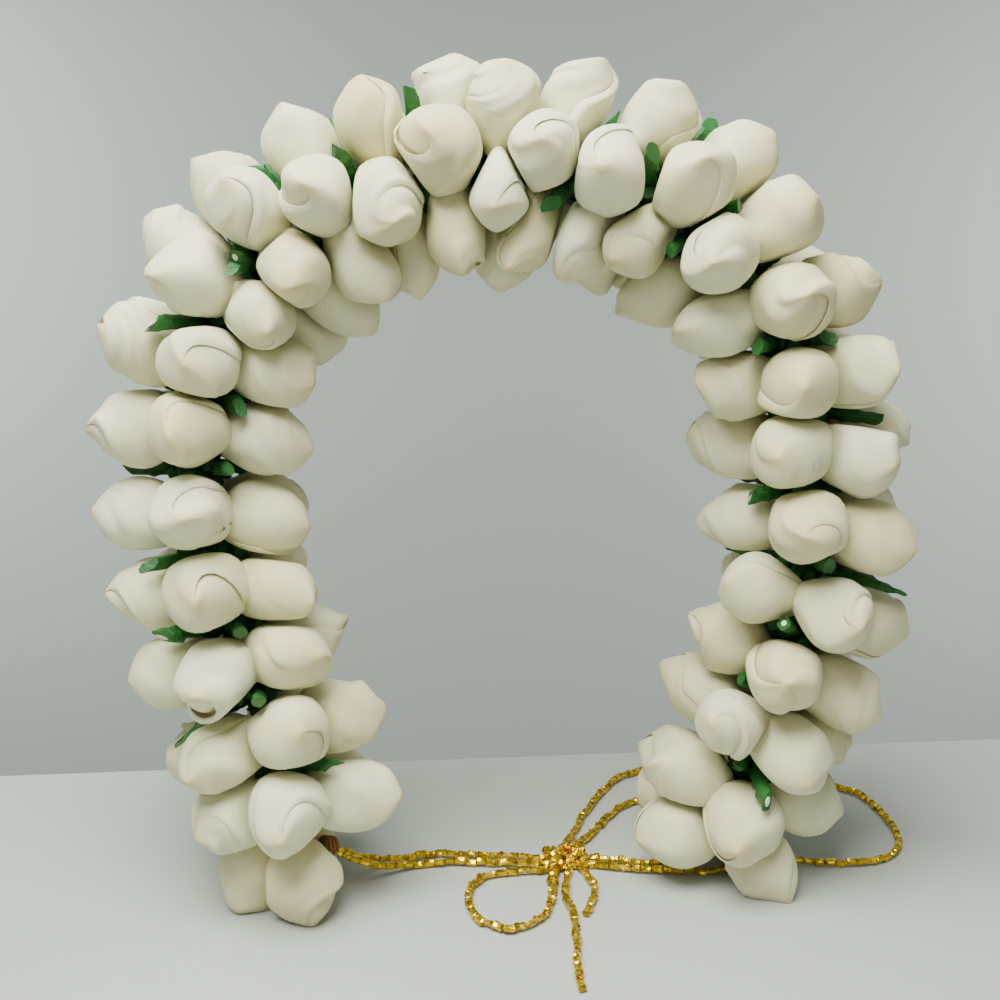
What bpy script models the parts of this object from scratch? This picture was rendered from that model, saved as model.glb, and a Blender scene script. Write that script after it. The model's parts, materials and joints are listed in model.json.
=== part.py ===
# Jasmine garland: a horseshoe of rolled flower buds bound round a bent wire, standing on its two ends,
# with a gold cord tied in a bow between them. Metres, +Z up, the front faces -Y.
import math
import random

import bmesh
import bpy
import numpy as np

MM = 0.001

# Line of the wire through the flowers, from the left end up over the crown and down to the right end
ROPE_ROUTE = [
    (-29.7, -3.9, 12.0), (-31.3, -3.1, 19.5), (-34.5, -1.5, 29.0), (-38.9, 0.3, 43.0), (-41.1, 1.3, 57.0),
    (-40.3, 1.7, 71.0), (-35.1, 1.7, 84.6), (-23.1, 1.7, 94.8), (-7.7, 1.7, 99.6), (6.9, 1.7, 99.4),
    (20.4, 1.7, 95.2), (32.5, 1.9, 85.6), (39.5, 2.3, 72.0), (41.5, 2.7, 54.5), (41.5, 3.3, 39.0),
    (36.3, 4.1, 22.4), (32.5, 4.4, 8.9),
]
LEFT_WIRE_END = [(-29.0, -4.2, 9.4), (-27.3, -3.9, 7.4), (-24.9, -2.1, 6.2)]
RIGHT_WIRE_END = [(32.3, 4.5, 6.2), (32.2, 4.7, 3.9), (30.7, 4.8, 2.5)]
WIRE_RADIUS = 0.8 * MM

# Whorls of buds along the wire, by arc length from its left end, in millimetres
WHORL_PLACES = [
    4.2, 13.2, 23.9, 34.1, 44.5, 55.9, 65.9, 75.4, 83.4, 92.1, 99.7, 108.5, 114.6, 120.8, 129.8, 138.2,
    145.9, 156.1, 166.2, 176.2, 186.7, 198.6, 207.8, 217.7, 227.6,
]
WHORLS = len(WHORL_PLACES)
# Turn round the wire and lean along it of the outer, front and inner bud of each whorl, in degrees:
# at a turn of 0 a bud faces the front. The whorl's other buds are spread over the back.
OUTER_TURNS = [
    -51, -32, -75, -77, -77, -74, -62, -98, -95, -82, -59, -84, -120, -75, -68, -79, -47, -69, -47, -37,
    -47, -72, -59, -100, -76,
]
FRONT_TURNS = [
    8, 29, -13, -1, 0, -1, 0, -31, -34, -9, 18, -14, -51, -9, -4, -18, 11, -9, 12, 26, 13, -11, 14, -21,
    1,
]
INNER_TURNS = [
    81, 89, 48, 60, 73, 70, 62, 30, 25, 56, 85, 53, 23, 57, 58, 41, 102, 57, 71, 112, 112, 55, 98, 40, 66,
]
OUTER_LEANS = [-4, -6, 7, 6, 4, -3, -1, 0, -3, 0, 3, 7, 0, 14, 16, 21, 17, 18, 6, 7, 10, 8, 6, 0, -4]
FRONT_LEANS = [
    -4, -4, -6, 3, 5, 6, -2, -7, 2, -1, -4, -6, 2, -7, -10, -6, -7, -1, -2, -6, -8, -7, -5, 3, 13,
]
INNER_LEANS = [
    -15, -12, -9, -12, -12, -2, 4, -1, 2, 3, 0, -5, 0, -10, -13, -18, -13, -15, -10, -4, 0, -16, -3, -7,
    -6,
]
SHOWN_BUDS = 3
BACK_BUDS = 2
# Back buds of every other whorl stand this much to one side and the other, in degrees
BACK_STAGGER = 12
# Turn and tilt of each bud in the end whorls; with no tilt given, a bud is tilted down to the surface
LEFT_END_BUDS = [(2, None), (-84, None), (-166, None)]
RIGHT_END_BUDS = [(60, 20), (134, 10), (-146, None), (-42, None)]
FOOT_LEAN = 9
END_SEAT = 4.0 * MM
END_REACH = 15.9 * MM
TIP_SUNK = 0.7 * MM
TURN_PLAY = 6
LEAN_PLAY = 8

# One bud, as a rolled petal with a pointed tip
BUD_RADIUS = 5.6 * MM
BUD_LENGTH = 13.2 * MM
BUD_SEAT = 2.8 * MM
LENGTH_PLAY = (0.93, 1.06)
RADIUS_PLAY = (0.95, 1.03)
BUD_SIDES = 8
# Share of the bud's length and of its radius at each ring, and the same at its tip
BUD_PROFILE = [(0.0, 0.6), (0.28, 0.95), (0.6, 0.95), (0.86, 0.46)]
BUD_TIP = (1.0, 0.05)
LIP_DEPTH = 0.11
LIP_TWIST = math.radians(110)
SEAM_TURN = 0.985
TIP_BEND = 1.5 * MM
BEND_PLAY = (0.1, 1.0)
BEND_FROM = 0.55
SEED = 41

# How buds press flat against each other: fused low down in a whorl, clear of other whorls
FUSED_BELOW = 0.4
FREE_ABOVE = 0.15
MIN_ROOM = 0.6 * MM
ROOT_ROOM = 2.4 * MM
BUD_GAP = 0.16 * MM
SHORTEST_EDGE = 0.15 * MM

# Bound stems round the wire, and the cut ends that stick out between the buds
COLLAR_RADIUS = 2.2 * MM
COLLAR_BORE = 1.16 * MM
STEM_RADIUS = 1.05 * MM
STEM_ROOT = 1.55 * MM
STEM_SIDES = 5
# Cut ends that show from the front: the gap between whorls, the turn round the wire and the lean along
# it in degrees, and the reach from the wire in millimetres. Each steps aside a little to miss the buds.
STEP_ASIDE = 9
FRONT_STEMS = [
    (0, 42, -12, 11.5), (1, -69, -12, 12.0), (1, 12, 0, 12.5), (2, -42, 6, 11.5), (2, 12, -6, 10.5),
    (3, -42, 0, 11.0), (4, -102, 0, 11.0), (4, 21, 6, 11.0), (5, 27, 0, 10.0), (6, -36, -12, 12.5),
    (7, -15, 0, 10.5), (7, 0, -6, 10.5), (8, -66, -6, 10.0), (9, -45, 0, 11.0), (10, -72, 6, 11.0),
    (13, -48, 12, 10.5), (13, 24, -18, 12.0), (14, -108, 18, 13.0), (14, -24, -12, 11.0),
    (15, -42, 12, 8.5), (15, 18, -12, 12.0), (17, -27, 6, 8.5), (17, 30, -12, 10.5),
    (18, -66, 12, 10.0), (19, 60, 6, 9.0), (20, -48, 12, 13.0), (20, 3, -12, 10.5), (21, 33, -18, 11.5),
    (22, 60, -12, 8.0), (23, -6, 6, 13.0), (23, 24, 0, 9.0),
]
# Cut ends at the back: one in each of the two sectors of turns there, with a reach in this range
BACK_SECTORS = ((108, 180), (180, 252))
SECTOR_STEP = 3
PROBE_REACHES = np.linspace(3.4, 12, 8) * MM
TIGHT_GAP = 7.0 * MM
NEAR_GAP = 18 * MM
STEM_REACH = (9.5 * MM, 12.5 * MM)
STEM_CUT = (0.3, 0.9)
CLEARANCE = 0.34 * MM
ROD_LENGTH = 4 * MM
GAPS_IN_BUNCH = 2
BUNCH_GAP = 0.15 * MM
# The ring round the wire that the buds of an end whorl grow out of
END_CORE_RADIUS = 3.2 * MM
END_CORE_BORE = 1.26 * MM
END_CORE_SPAN = (1.0 * MM, 3.2 * MM)
RING_SIDES = 8

# Thread bound round each end of the wire, where the cord is tied on
BINDING_RADIUS = 1.75 * MM
BINDING_LENGTH = 1.9 * MM

# Gold cord and its bow, lying on the surface
CORD_RADIUS = 0.75 * MM
CORD_STEP = 4.2 * MM
CORD_ROUTES = {
    "cord_left_back": [
        (-25.1, -1.1, 6.05), (-22.3, 0.4, 3.9), (-18.7, 3.1, 1.9), (-15.1, 5.4, 0.95), (-10.6, 6.8, 0.8),
        (-5.5, 6.6, 0.8), (0.5, 6.1, 0.8), (5.75, 5.55, 0.8)],
    "cord_left_front": [
        (-24.1, -2.75, 6.05), (-21.3, -1.3, 3.9), (-17.9, 1.0, 1.9), (-14.3, 3.1, 0.95), (-10.1, 4.2, 0.8),
        (-5.4, 4.3, 0.8), (0.5, 4.0, 0.8), (5.75, 3.75, 0.8)],
    "cord_right_near": [
        (29.8, 3.8, 2.0), (27.3, 3.6, 1.3), (24.1, 3.8, 0.85), (19.0, 4.3, 0.8), (15.1, 5.0, 0.8),
        (11.85, 5.5, 0.8)],
    "cord_right_round": [
        (29.5, 5.8, 1.9), (29.0, 7.6, 1.5), (29.7, 10.0, 1.0), (31.2, 12.7, 0.8), (33.3, 16.9, 0.8),
        (37.3, 22.5, 0.8), (42.9, 27.3, 0.8), (49.3, 30.7, 0.8), (55.3, 31.1, 0.8), (59.1, 27.7, 0.8),
        (60.5, 22.2, 0.8), (60.9, 16.6, 0.8), (60.4, 11.1, 0.8), (58.2, 7.1, 0.8), (54.5, 4.6, 0.8),
        (50.3, 3.9, 0.8), (46.3, 4.3, 0.8), (40.9, 4.7, 0.8), (36.1, 3.7, 0.8), (32.3, 2.0, 0.8),
        (28.9, 1.4, 0.8), (25.3, 1.6, 0.8), (21.5, 2.0, 0.8), (17.5, 2.4, 0.8), (14.5, 3.2, 0.8),
        (11.85, 3.65, 0.8)],
    "bow_loop_left": [
        (5.75, 1.9, 0.8), (2.9, 1.6, 0.8), (-0.5, 1.2, 0.8), (-3.4, -0.3, 0.8), (-5.2, -3.5, 0.8),
        (-5.4, -7.5, 0.8), (-3.8, -11.7, 0.8), (-0.3, -14.2, 0.8), (3.3, -12.9, 0.8), (5.5, -9.5, 0.8),
        (6.4, -5.5, 0.8), (6.8, -1.7, 0.8), (7.3, 2.65, 0.8)],
    "bow_loop_right": [
        (8.2, 6.6, 0.8), (9.1, 10.1, 0.8), (10.9, 15.1, 0.8), (12.9, 21.3, 0.8), (16.2, 29.3, 0.8),
        (20.3, 35.3, 0.8), (25.1, 38.1, 0.8), (29.3, 36.3, 0.8), (29.3, 31.5, 0.8), (25.3, 28.1, 0.8),
        (20.5, 24.7, 0.8), (16.7, 20.1, 0.8), (13.3, 13.7, 0.8), (11.1, 9.7, 0.8), (10.2, 6.6, 0.8)],
    "bow_tail_long": [
        (9.1, 2.65, 0.8), (8.5, -1.7, 0.8), (8.5, -6.9, 0.8), (9.1, -11.9, 0.8), (9.0, -17.9, 0.8),
        (8.8, -22.7, 0.8), (9.0, -27.1, 0.8)],
    "bow_tail_short": [
        (10.85, 2.65, 0.8), (11.6, 0.3, 0.8), (12.5, -2.5, 0.8), (12.1, -5.9, 0.8), (11.0, -9.3, 0.8)],
}
KNOT_CENTRE = (8.8, 4.6, 1.55)
KNOT_LENGTH = 5.4 * MM
KNOT_RADIUS = 1.5 * MM
KNOT_TURNS = 3
KNOT_SIDES = 10
KNOT_ENDS = 0.55
KNOT_VALLEY = 0.78

WHITE = (0.86, 0.84, 0.76)
GREEN = (0.02, 0.2, 0.05)
GOLD = (0.72, 0.48, 0.1)
TAPE = (0.1, 0.28, 0.1)
THREAD = (0.45, 0.2, 0.05)


def clear_scene():
    for item in list(bpy.data.objects):
        bpy.data.objects.remove(item, do_unlink=True)


def material(name, colour, roughness, metallic=0.0):
    made = bpy.data.materials.new(name)
    made.use_nodes = True
    shader = made.node_tree.nodes["Principled BSDF"]
    shader.inputs["Base Color"].default_value = (*colour, 1.0)
    shader.inputs["Roughness"].default_value = roughness
    shader.inputs["Metallic"].default_value = metallic
    return made


def unit(vector):
    return vector / np.linalg.norm(vector, axis=-1, keepdims=True)


def smooth_line(route, per_span=24):
    """Catmull-Rom curve through the route's points, in metres."""
    points = np.array(route, float) * MM
    ends = np.vstack([2 * points[0] - points[1], points, 2 * points[-1] - points[-2]])
    line = []
    for a, b, c, d in zip(ends, ends[1:], ends[2:], ends[3:]):
        for t in np.linspace(0, 1, per_span, endpoint=False):
            line.append(0.5 * (2 * b + (c - a) * t + (2 * a - 5 * b + 4 * c - d) * t * t
                               + (3 * b - a - 3 * c + d) * t ** 3))
    return np.array(line + [points[-1]])


def arc_lengths(line):
    steps = np.linalg.norm(np.diff(line, axis=0), axis=1)
    return np.concatenate([[0.0], np.cumsum(steps)])


def at_arc(line, arcs, where):
    """Points of the line at the given arc lengths."""
    return np.stack([np.interp(where, arcs, line[:, axis]) for axis in range(3)], axis=-1)


def rope_frame(line, arcs, where):
    """Place, direction along, front and inner directions of the rope at an arc length."""
    here = at_arc(line, arcs, where)
    ahead = at_arc(line, arcs, min(where + 1.0 * MM, arcs[-1]))
    behind = at_arc(line, arcs, max(where - 1.0 * MM, 0))
    along = unit(ahead - behind)
    inner = unit(np.cross((0.0, 1.0, 0.0), along))
    front = unit(np.cross(inner, along))
    if front[1] > 0:
        front = -front
    return here, along, front, inner


def whorl_turns(number):
    """Turn and lean of a whorl's buds: the three that show, then those spread over its back."""
    shown = [(OUTER_TURNS[number], OUTER_LEANS[number]), (FRONT_TURNS[number], FRONT_LEANS[number]),
             (INNER_TURNS[number], INNER_LEANS[number])]
    last = INNER_TURNS[number]
    step = (OUTER_TURNS[number] + 360 - last) / (BACK_BUDS + 1)
    foot = {0: -FOOT_LEAN, WHORLS - 1: FOOT_LEAN}.get(number, 0)
    stagger = BACK_STAGGER if number % 2 else -BACK_STAGGER
    return shown + [(last + step * (index + 1) + stagger, foot) for index in range(BACK_BUDS)]


def make_bud(draw, whorl, root, direction, along, length):
    side = unit(along - direction * np.dot(along, direction))
    return {
        "whorl": whorl, "root": root, "direction": direction, "side": side,
        "across": np.cross(direction, side), "length": length,
        "radius": BUD_RADIUS * draw.uniform(*RADIUS_PLAY), "lip": draw.uniform(0, 2 * math.pi),
        "bend": TIP_BEND * draw.uniform(*BEND_PLAY), "bend_turn": draw.uniform(0, 2 * math.pi), "walls": [],
        "root_room": BUD_RADIUS,
    }


def lowered(here, level, outward):
    """Direction of a bud tilted from level towards the rope's end until its tip meets the surface."""
    low, high = 0.0, math.pi / 2
    for _ in range(20):
        tilt = (low + high) / 2
        direction = math.cos(tilt) * level + math.sin(tilt) * outward
        if here[2] + direction[2] * END_REACH > -TIP_SUNK:
            low = tilt
        else:
            high = tilt
    return unit(direction)


def lay_out_buds(line, arcs, places):
    draw = random.Random(SEED)
    buds = []
    for number, place in enumerate(places):
        here, along, front, inner = rope_frame(line, arcs, place)
        for index, (degrees, tilt) in enumerate(whorl_turns(number)):
            play = 1.0 if index >= SHOWN_BUDS else 0.0
            turn = math.radians(degrees + play * draw.uniform(-TURN_PLAY, TURN_PLAY))
            lean = math.tan(math.radians(tilt + play * draw.uniform(-LEAN_PLAY, LEAN_PLAY)))
            direction = unit(math.cos(turn) * front + math.sin(turn) * inner + lean * along)
            length = BUD_LENGTH * draw.uniform(*LENGTH_PLAY)
            buds.append(make_bud(draw, number + 1, here + direction * BUD_SEAT, direction, along, length))
    end_whorls = ((0, 0.0, LEFT_END_BUDS, -1), (WHORLS + 1, arcs[-1], RIGHT_END_BUDS, 1))
    for whorl, place, ends, outward in end_whorls:
        here, along, front, inner = rope_frame(line, arcs, place)
        for degrees, tilt in ends:
            turn = math.radians(degrees)
            level = math.cos(turn) * front + math.sin(turn) * inner
            if tilt is None:
                direction, seat = lowered(here, level, outward * along), END_SEAT
            else:
                direction, seat = unit(level + math.tan(math.radians(tilt)) * outward * along), BUD_SEAT
            buds.append(make_bud(draw, whorl, here + direction * seat, direction, along, END_REACH - seat))
    return buds


def spine(bud, t):
    """Middle line of a bud: straight to its belly, then bent to one side towards the tip."""
    lean = bud["bend"] * max(0.0, (t - BEND_FROM) / (1 - BEND_FROM)) ** 2
    sideways = math.cos(bud["bend_turn"]) * bud["side"] + math.sin(bud["bend_turn"]) * bud["across"]
    return bud["root"] + bud["direction"] * bud["length"] * t + sideways * lean


def bud_balls(bud):
    """The bud as a row of balls, for finding where it presses on its neighbours."""
    levels = BUD_PROFILE + [BUD_TIP]
    return np.array([spine(bud, t) for t, _ in levels]), np.array([r for _, r in levels]) * bud["radius"]


def parting_plane(first, second):
    """Direction from first to second with the widest gap, and the level of each side along it."""
    (a, a_radii), (b, b_radii) = first, second

    def levels(normal):
        return (a @ normal + a_radii).max(), (b @ normal - b_radii).min()

    normal = unit(b.mean(axis=0) - a.mean(axis=0))
    low, high = levels(normal)
    for size in (0.5, 0.25, 0.12, 0.06):
        helper = np.eye(3)[np.argmin(np.abs(normal))]
        u = unit(np.cross(normal, helper))
        v = np.cross(normal, u)
        for angle in np.arange(8) * math.pi / 4:
            tried = unit(normal + size * (math.cos(angle) * u + math.sin(angle) * v))
            new_low, new_high = levels(tried)
            if new_high - new_low > high - low:
                normal, low, high = tried, new_low, new_high
    return normal, low, high


def press_buds(buds, stem_rods, core_rods):
    """Gives every bud the planes it is pressed flat against: its neighbours, the stems and the wire."""
    balls = [bud_balls(bud) for bud in buds]
    for i, first in enumerate(buds):
        for j in range(i + 1, len(buds)):
            second = buds[j]
            if np.linalg.norm(balls[i][0][2] - balls[j][0][2]) > 3 * BUD_RADIUS:
                continue
            same = first["whorl"] == second["whorl"]
            skip = 2 if same else 0
            near = [(points[skip:], radii[skip:]) for points, radii in (balls[i], balls[j])]
            normal, low, high = parting_plane(*near)
            if high - low < 2 * BUD_GAP:
                middle = (low + high) / 2
                start = FUSED_BELOW if same else FREE_ABOVE
                first["walls"].append((normal, middle - BUD_GAP, start))
                second["walls"].append((-normal, -middle - BUD_GAP, start))
            if not same:
                apart = np.linalg.norm(first["root"] - second["root"]) / 2 - BUD_GAP
                for bud in (first, second):
                    bud["root_room"] = min(bud["root_room"], max(apart, ROOT_ROOM))
        for index, rod in enumerate(stem_rods + core_rods):
            if np.linalg.norm(balls[i][0][2] - rod[0].mean(axis=0)) > 2.6 * BUD_RADIUS:
                continue
            normal, low, high = parting_plane(balls[i], rod)
            if high - low < CLEARANCE:
                start = FREE_ABOVE if index < len(stem_rods) else -1.0
                first["walls"].append((normal, high - CLEARANCE, start))
        for rod in stem_rods:
            apart = np.linalg.norm(rod[0] - first["root"], axis=1).min() - STEM_RADIUS - CLEARANCE
            first["root_room"] = min(first["root_room"], max(apart, ROOT_ROOM))


def squeeze(points, centre, walls, t):
    """Draws a ring in towards its centre until it lies inside every wall."""
    arms = points - centre
    share = np.ones(len(points))
    for normal, level, start in walls:
        if t < start:
            continue
        room = max(level - centre @ normal, MIN_ROOM)
        reach = arms @ normal
        share = np.where(reach > room, np.minimum(share, room / np.maximum(reach, 1e-9)), share)
    return centre + arms * share[:, None]


def keep_above_floor(points):
    points[:, 2] = np.maximum(points[:, 2], 0.0)
    return points


def bud_mesh(bud):
    """Vertices and triangles of one rolled bud with a stepped lip that winds up to its tip."""
    turns = [i / (BUD_SIDES - 1) for i in range(BUD_SIDES - 1)] + [SEAM_TURN]
    rings = []
    for level, (t, width) in enumerate(BUD_PROFILE):
        centre = spine(bud, t)
        radius = width * bud["radius"]
        if level == 0:
            radius = min(radius, bud["root_room"])
        start = bud["lip"] + LIP_TWIST * t
        ring = []
        for turn in turns:
            angle = start + turn * 2 * math.pi
            arm = radius * (1 - LIP_DEPTH * turn * min(1.0, 3 * t))
            ring.append(centre + arm * (math.cos(angle) * bud["side"] + math.sin(angle) * bud["across"]))
        rings.append(squeeze(np.array(ring), centre, bud["walls"], t))
    points = np.vstack(rings + [[spine(bud, 1.0)]])
    faces = []
    for level in range(len(rings) - 1):
        for i in range(BUD_SIDES):
            a, b = level * BUD_SIDES + i, level * BUD_SIDES + (i + 1) % BUD_SIDES
            faces += [(a, b, b + BUD_SIDES), (a, b + BUD_SIDES, a + BUD_SIDES)]
    top = (len(rings) - 1) * BUD_SIDES
    faces += [(top + i, top + (i + 1) % BUD_SIDES, len(points) - 1) for i in range(BUD_SIDES)]
    faces.append(tuple(range(BUD_SIDES))[::-1])
    return keep_above_floor(points), faces


def ring_mesh(stations, outer, bore, sides=STEM_SIDES):
    """A tube with a bore that follows a few stations of (place, front, inner)."""
    points, faces = [], []
    for here, front, inner in stations:
        for radius in (outer, bore):
            for i in range(sides):
                angle = i * 2 * math.pi / sides
                points.append(here + radius * (math.cos(angle) * front + math.sin(angle) * inner))
    count = len(stations)
    for s in range(count - 1):
        for i in range(sides):
            j = (i + 1) % sides
            a, b = s * 2 * sides + i, s * 2 * sides + j
            c, d = a + 2 * sides, b + 2 * sides
            faces += [(a, b, d, c), (a + sides, c + sides, d + sides, b + sides)]
    last = (count - 1) * 2 * sides
    for i in range(sides):
        j = (i + 1) % sides
        faces.append((j, i, i + sides, j + sides))
        faces.append((last + i, last + j, last + j + sides, last + i + sides))
    return points, faces


def tube_mesh(line, radius, sides=STEM_SIDES):
    """A solid round bar along a line, its flats kept in step with the collars' bores."""
    points, faces = [], []
    for i, here in enumerate(line):
        ahead, behind = line[min(i + 1, len(line) - 1)], line[max(i - 1, 0)]
        along = unit(ahead - behind)
        inner = unit(np.cross((0.0, 1.0, 0.0), along))
        front = np.cross(inner, along)
        front = -front if front[1] > 0 else front
        for k in range(sides):
            angle = k * 2 * math.pi / sides
            points.append(here + radius * (math.cos(angle) * front + math.sin(angle) * inner))
    for s in range(len(line) - 1):
        for k in range(sides):
            a, b = s * sides + k, s * sides + (k + 1) % sides
            faces.append((a, b, b + sides, a + sides))
    faces.append(tuple(range(sides))[::-1])
    faces.append(tuple((len(line) - 1) * sides + k for k in range(sides)))
    return points, faces


def mesh_object(name, points, faces, paint):
    mesh = bpy.data.meshes.new(name)
    mesh.from_pydata([tuple(p) for p in points], [], faces)
    mesh.validate()
    made = bpy.data.objects.new(name, mesh)
    bpy.context.scene.collection.objects.link(made)
    if paint:
        mesh.materials.append(paint)
    return made


def face_outwards(made):
    """Turns the faces of a closed mesh to point out."""
    work = bmesh.new()
    work.from_mesh(made.data)
    bmesh.ops.recalc_face_normals(work, faces=work.faces)
    work.to_mesh(made.data)
    work.free()


def keep_main_body(mesh):
    """Closes up the shortest edges and drops the loose scraps that a union can leave."""
    work = bmesh.new()
    work.from_mesh(mesh)
    bmesh.ops.triangulate(work, faces=work.faces)
    for edge in sorted(work.edges, key=lambda e: e.calc_length()):
        if not edge.is_valid or edge.calc_length() > SHORTEST_EDGE:
            continue
        a, b = edge.verts
        shared = {e.other_vert(a) for e in a.link_edges} & {e.other_vert(b) for e in b.link_edges}
        if len(shared) == 2:
            bmesh.ops.pointmerge(work, verts=[a, b], merge_co=(a.co + b.co) / 2)
    unseen, bodies = set(work.verts), []
    while unseen:
        body, edge = set(), [unseen.pop()]
        while edge:
            vert = edge.pop()
            body.add(vert)
            fresh = [e.other_vert(vert) for e in vert.link_edges]
            fresh = [v for v in fresh if v in unseen]
            unseen.difference_update(fresh)
            edge += fresh
        bodies.append(body)
    largest = max(bodies, key=len)
    bmesh.ops.delete(work, geom=[v for v in work.verts if v not in largest], context="VERTS")
    work.to_mesh(mesh)
    work.free()


def union(name, meshes, paint):
    """Joins closed meshes into one solid with a Boolean union on a collection, and applies it."""
    parts = []
    for index, (points, faces) in enumerate(meshes):
        part = mesh_object(f"{name}_piece_{index}", points, faces, None)
        face_outwards(part)
        parts.append(part)
    base = parts[0]
    others = bpy.data.collections.new(name + "_others")
    bpy.context.scene.collection.children.link(others)
    for part in parts[1:]:
        bpy.context.scene.collection.objects.unlink(part)
        others.objects.link(part)
    join = base.modifiers.new("join", "BOOLEAN")
    join.operation = "UNION"
    join.operand_type = "COLLECTION"
    join.collection = others
    join.solver = "EXACT"
    bpy.context.view_layer.update()
    applied = bpy.data.meshes.new_from_object(base.evaluated_get(bpy.context.evaluated_depsgraph_get()))
    for part in parts:
        bpy.data.objects.remove(part, do_unlink=True)
    bpy.data.collections.remove(others)
    applied.name = name
    keep_main_body(applied)
    applied.materials.clear()
    applied.materials.append(paint)
    made = bpy.data.objects.new(name, applied)
    bpy.context.scene.collection.objects.link(made)
    return made


def widest_way(axes, sector, lean, points, radii):
    """Direction out from the wire, with its turn in a sector, that keeps furthest from the buds."""
    here, along, front, inner = axes
    best = None
    for degrees in range(*sector, SECTOR_STEP):
        turn = math.radians(degrees)
        way = unit(math.cos(turn) * front + math.sin(turn) * inner + math.tan(math.radians(lean)) * along)
        probes = here + np.outer(PROBE_REACHES, way)
        room = (np.linalg.norm(probes[:, None] - points[None], axis=2) - radii).min()
        if best is None or room > best[0]:
            best = (room, way)
    return best[1]


def plan_stems(line, arcs, places, buds):
    """Cut stem ends for each gap between whorls: those that show, and two at the back."""
    draw = random.Random(SEED + 1)
    balls = [bud_balls(bud) for bud in buds]
    gaps = []
    for number, (low, high) in enumerate(zip(places, places[1:])):
        axes = rope_frame(line, arcs, (low + high) / 2)
        near = [b for b in balls if np.linalg.norm(b[0][2] - axes[0]) < NEAR_GAP]
        points = np.vstack([b[0] for b in near])
        radii = np.concatenate([b[1] for b in near])
        ends = [((turn - STEP_ASIDE, turn + STEP_ASIDE + 1), lean, reach * MM)
                for gap, turn, lean, reach in FRONT_STEMS if gap == number]
        if high - low > TIGHT_GAP:
            ends += [(sector, 0, draw.uniform(*STEM_REACH)) for sector in BACK_SECTORS]
        gaps.append([{"here": axes[0], "along": axes[1], "reach": reach, "cut": draw.uniform(*STEM_CUT),
                      "direction": widest_way(axes, sector, lean, points, radii)}
                     for sector, lean, reach in ends])
    return gaps


def stem_mesh(stem, sides=STEM_SIDES):
    """A round stem from inside the collar to a slanting cut end."""
    side = unit(stem["along"] - stem["direction"] * np.dot(stem["along"], stem["direction"]))
    across = np.cross(stem["direction"], side)
    points = []
    for reach, cut in ((STEM_ROOT, 0.0), (stem["reach"], stem["cut"])):
        for k in range(sides):
            angle = k * 2 * math.pi / sides
            out = reach + cut * STEM_RADIUS * math.cos(angle)
            points.append(stem["here"] + stem["direction"] * out
                          + STEM_RADIUS * (math.cos(angle) * side + math.sin(angle) * across))
    faces = [(k, (k + 1) % sides, (k + 1) % sides + sides, k + sides) for k in range(sides)]
    faces += [tuple(range(sides))[::-1], tuple(range(sides, 2 * sides))]
    return points, faces


def stem_rod(stem):
    """The stem as a row of balls, for pressing the buds clear of it."""
    reaches = np.linspace(STEM_ROOT, stem["reach"] + 0.6 * STEM_RADIUS, 7)
    return stem["here"] + np.outer(reaches, stem["direction"]), np.full(7, STEM_RADIUS)


def line_rods(line, radius, length):
    """Short runs of four balls along a line."""
    arcs = arc_lengths(line)
    count = max(1, round(arcs[-1] / length))
    edges = np.linspace(0, arcs[-1], count + 1)
    return [(at_arc(line, arcs, np.linspace(a, b, 4)), np.full(4, radius))
            for a, b in zip(edges, edges[1:])]


def wire_line(line, arcs, places):
    """The whole wire: the rope's line at the whorls and gaps, and its two turned-in ends."""
    middles = (places[:-1] + places[1:]) / 2
    stations = np.sort(np.concatenate([[0.0, arcs[-1]], places, middles]))
    left = np.array(LEFT_WIRE_END[::-1]) * MM
    right = np.array(RIGHT_WIRE_END) * MM
    return np.vstack([left, at_arc(line, arcs, stations), right])


def end_core(wire_point, wire_next):
    """Small ring round the wire that the buds of an end whorl grow out of."""
    outward = unit(wire_next - wire_point)
    inner = unit(np.cross((0.0, 1.0, 0.0), outward))
    front = np.cross(inner, outward)
    stations = [(wire_point + outward * step, front, inner) for step in END_CORE_SPAN]
    return ring_mesh(stations, END_CORE_RADIUS, END_CORE_BORE, RING_SIDES)


def bunch_mesh(line, arcs, places):
    """The bound stems round the wire along one or more gaps."""
    where = [places[0] + BUNCH_GAP]
    for low, high in zip(places, places[1:]):
        where += [(low + high) / 2, high]
    where[-1] -= BUNCH_GAP
    stations = []
    for place in where:
        here, along, front, inner = rope_frame(line, arcs, place)
        stations.append((here, front, inner))
    return ring_mesh(stations, COLLAR_RADIUS, COLLAR_BORE)


def add_binding(name, wire_end, paint):
    """Thread wound round the end of the wire."""
    points = np.array(wire_end) * MM
    outward = unit(points[-1] - points[-2])
    inner = unit(np.cross((0.0, 1.0, 0.0), outward))
    front = np.cross(inner, outward)
    stations = [(points[-1] - outward * step, front, inner) for step in (BINDING_LENGTH, 0.0)]
    made = mesh_object(name, *ring_mesh(stations, BINDING_RADIUS, COLLAR_BORE, RING_SIDES), paint)
    face_outwards(made)


def add_cord(name, route, paint):
    """A round cord along a smooth curve through its route."""
    line = smooth_line(route)
    arcs = arc_lengths(line)
    count = max(4, round(arcs[-1] / CORD_STEP) + 1)
    curve = bpy.data.curves.new(name, "CURVE")
    curve.dimensions = "3D"
    curve.bevel_depth = CORD_RADIUS
    curve.bevel_resolution = 2
    curve.use_fill_caps = True
    spline = curve.splines.new("POLY")
    spline.points.add(count - 1)
    for point, place in zip(spline.points, at_arc(line, arcs, np.linspace(0, arcs[-1], count))):
        point.co = (*place, 1.0)
    curve.materials.append(paint)
    made = bpy.data.objects.new(name, curve)
    bpy.context.scene.collection.objects.link(made)


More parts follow.
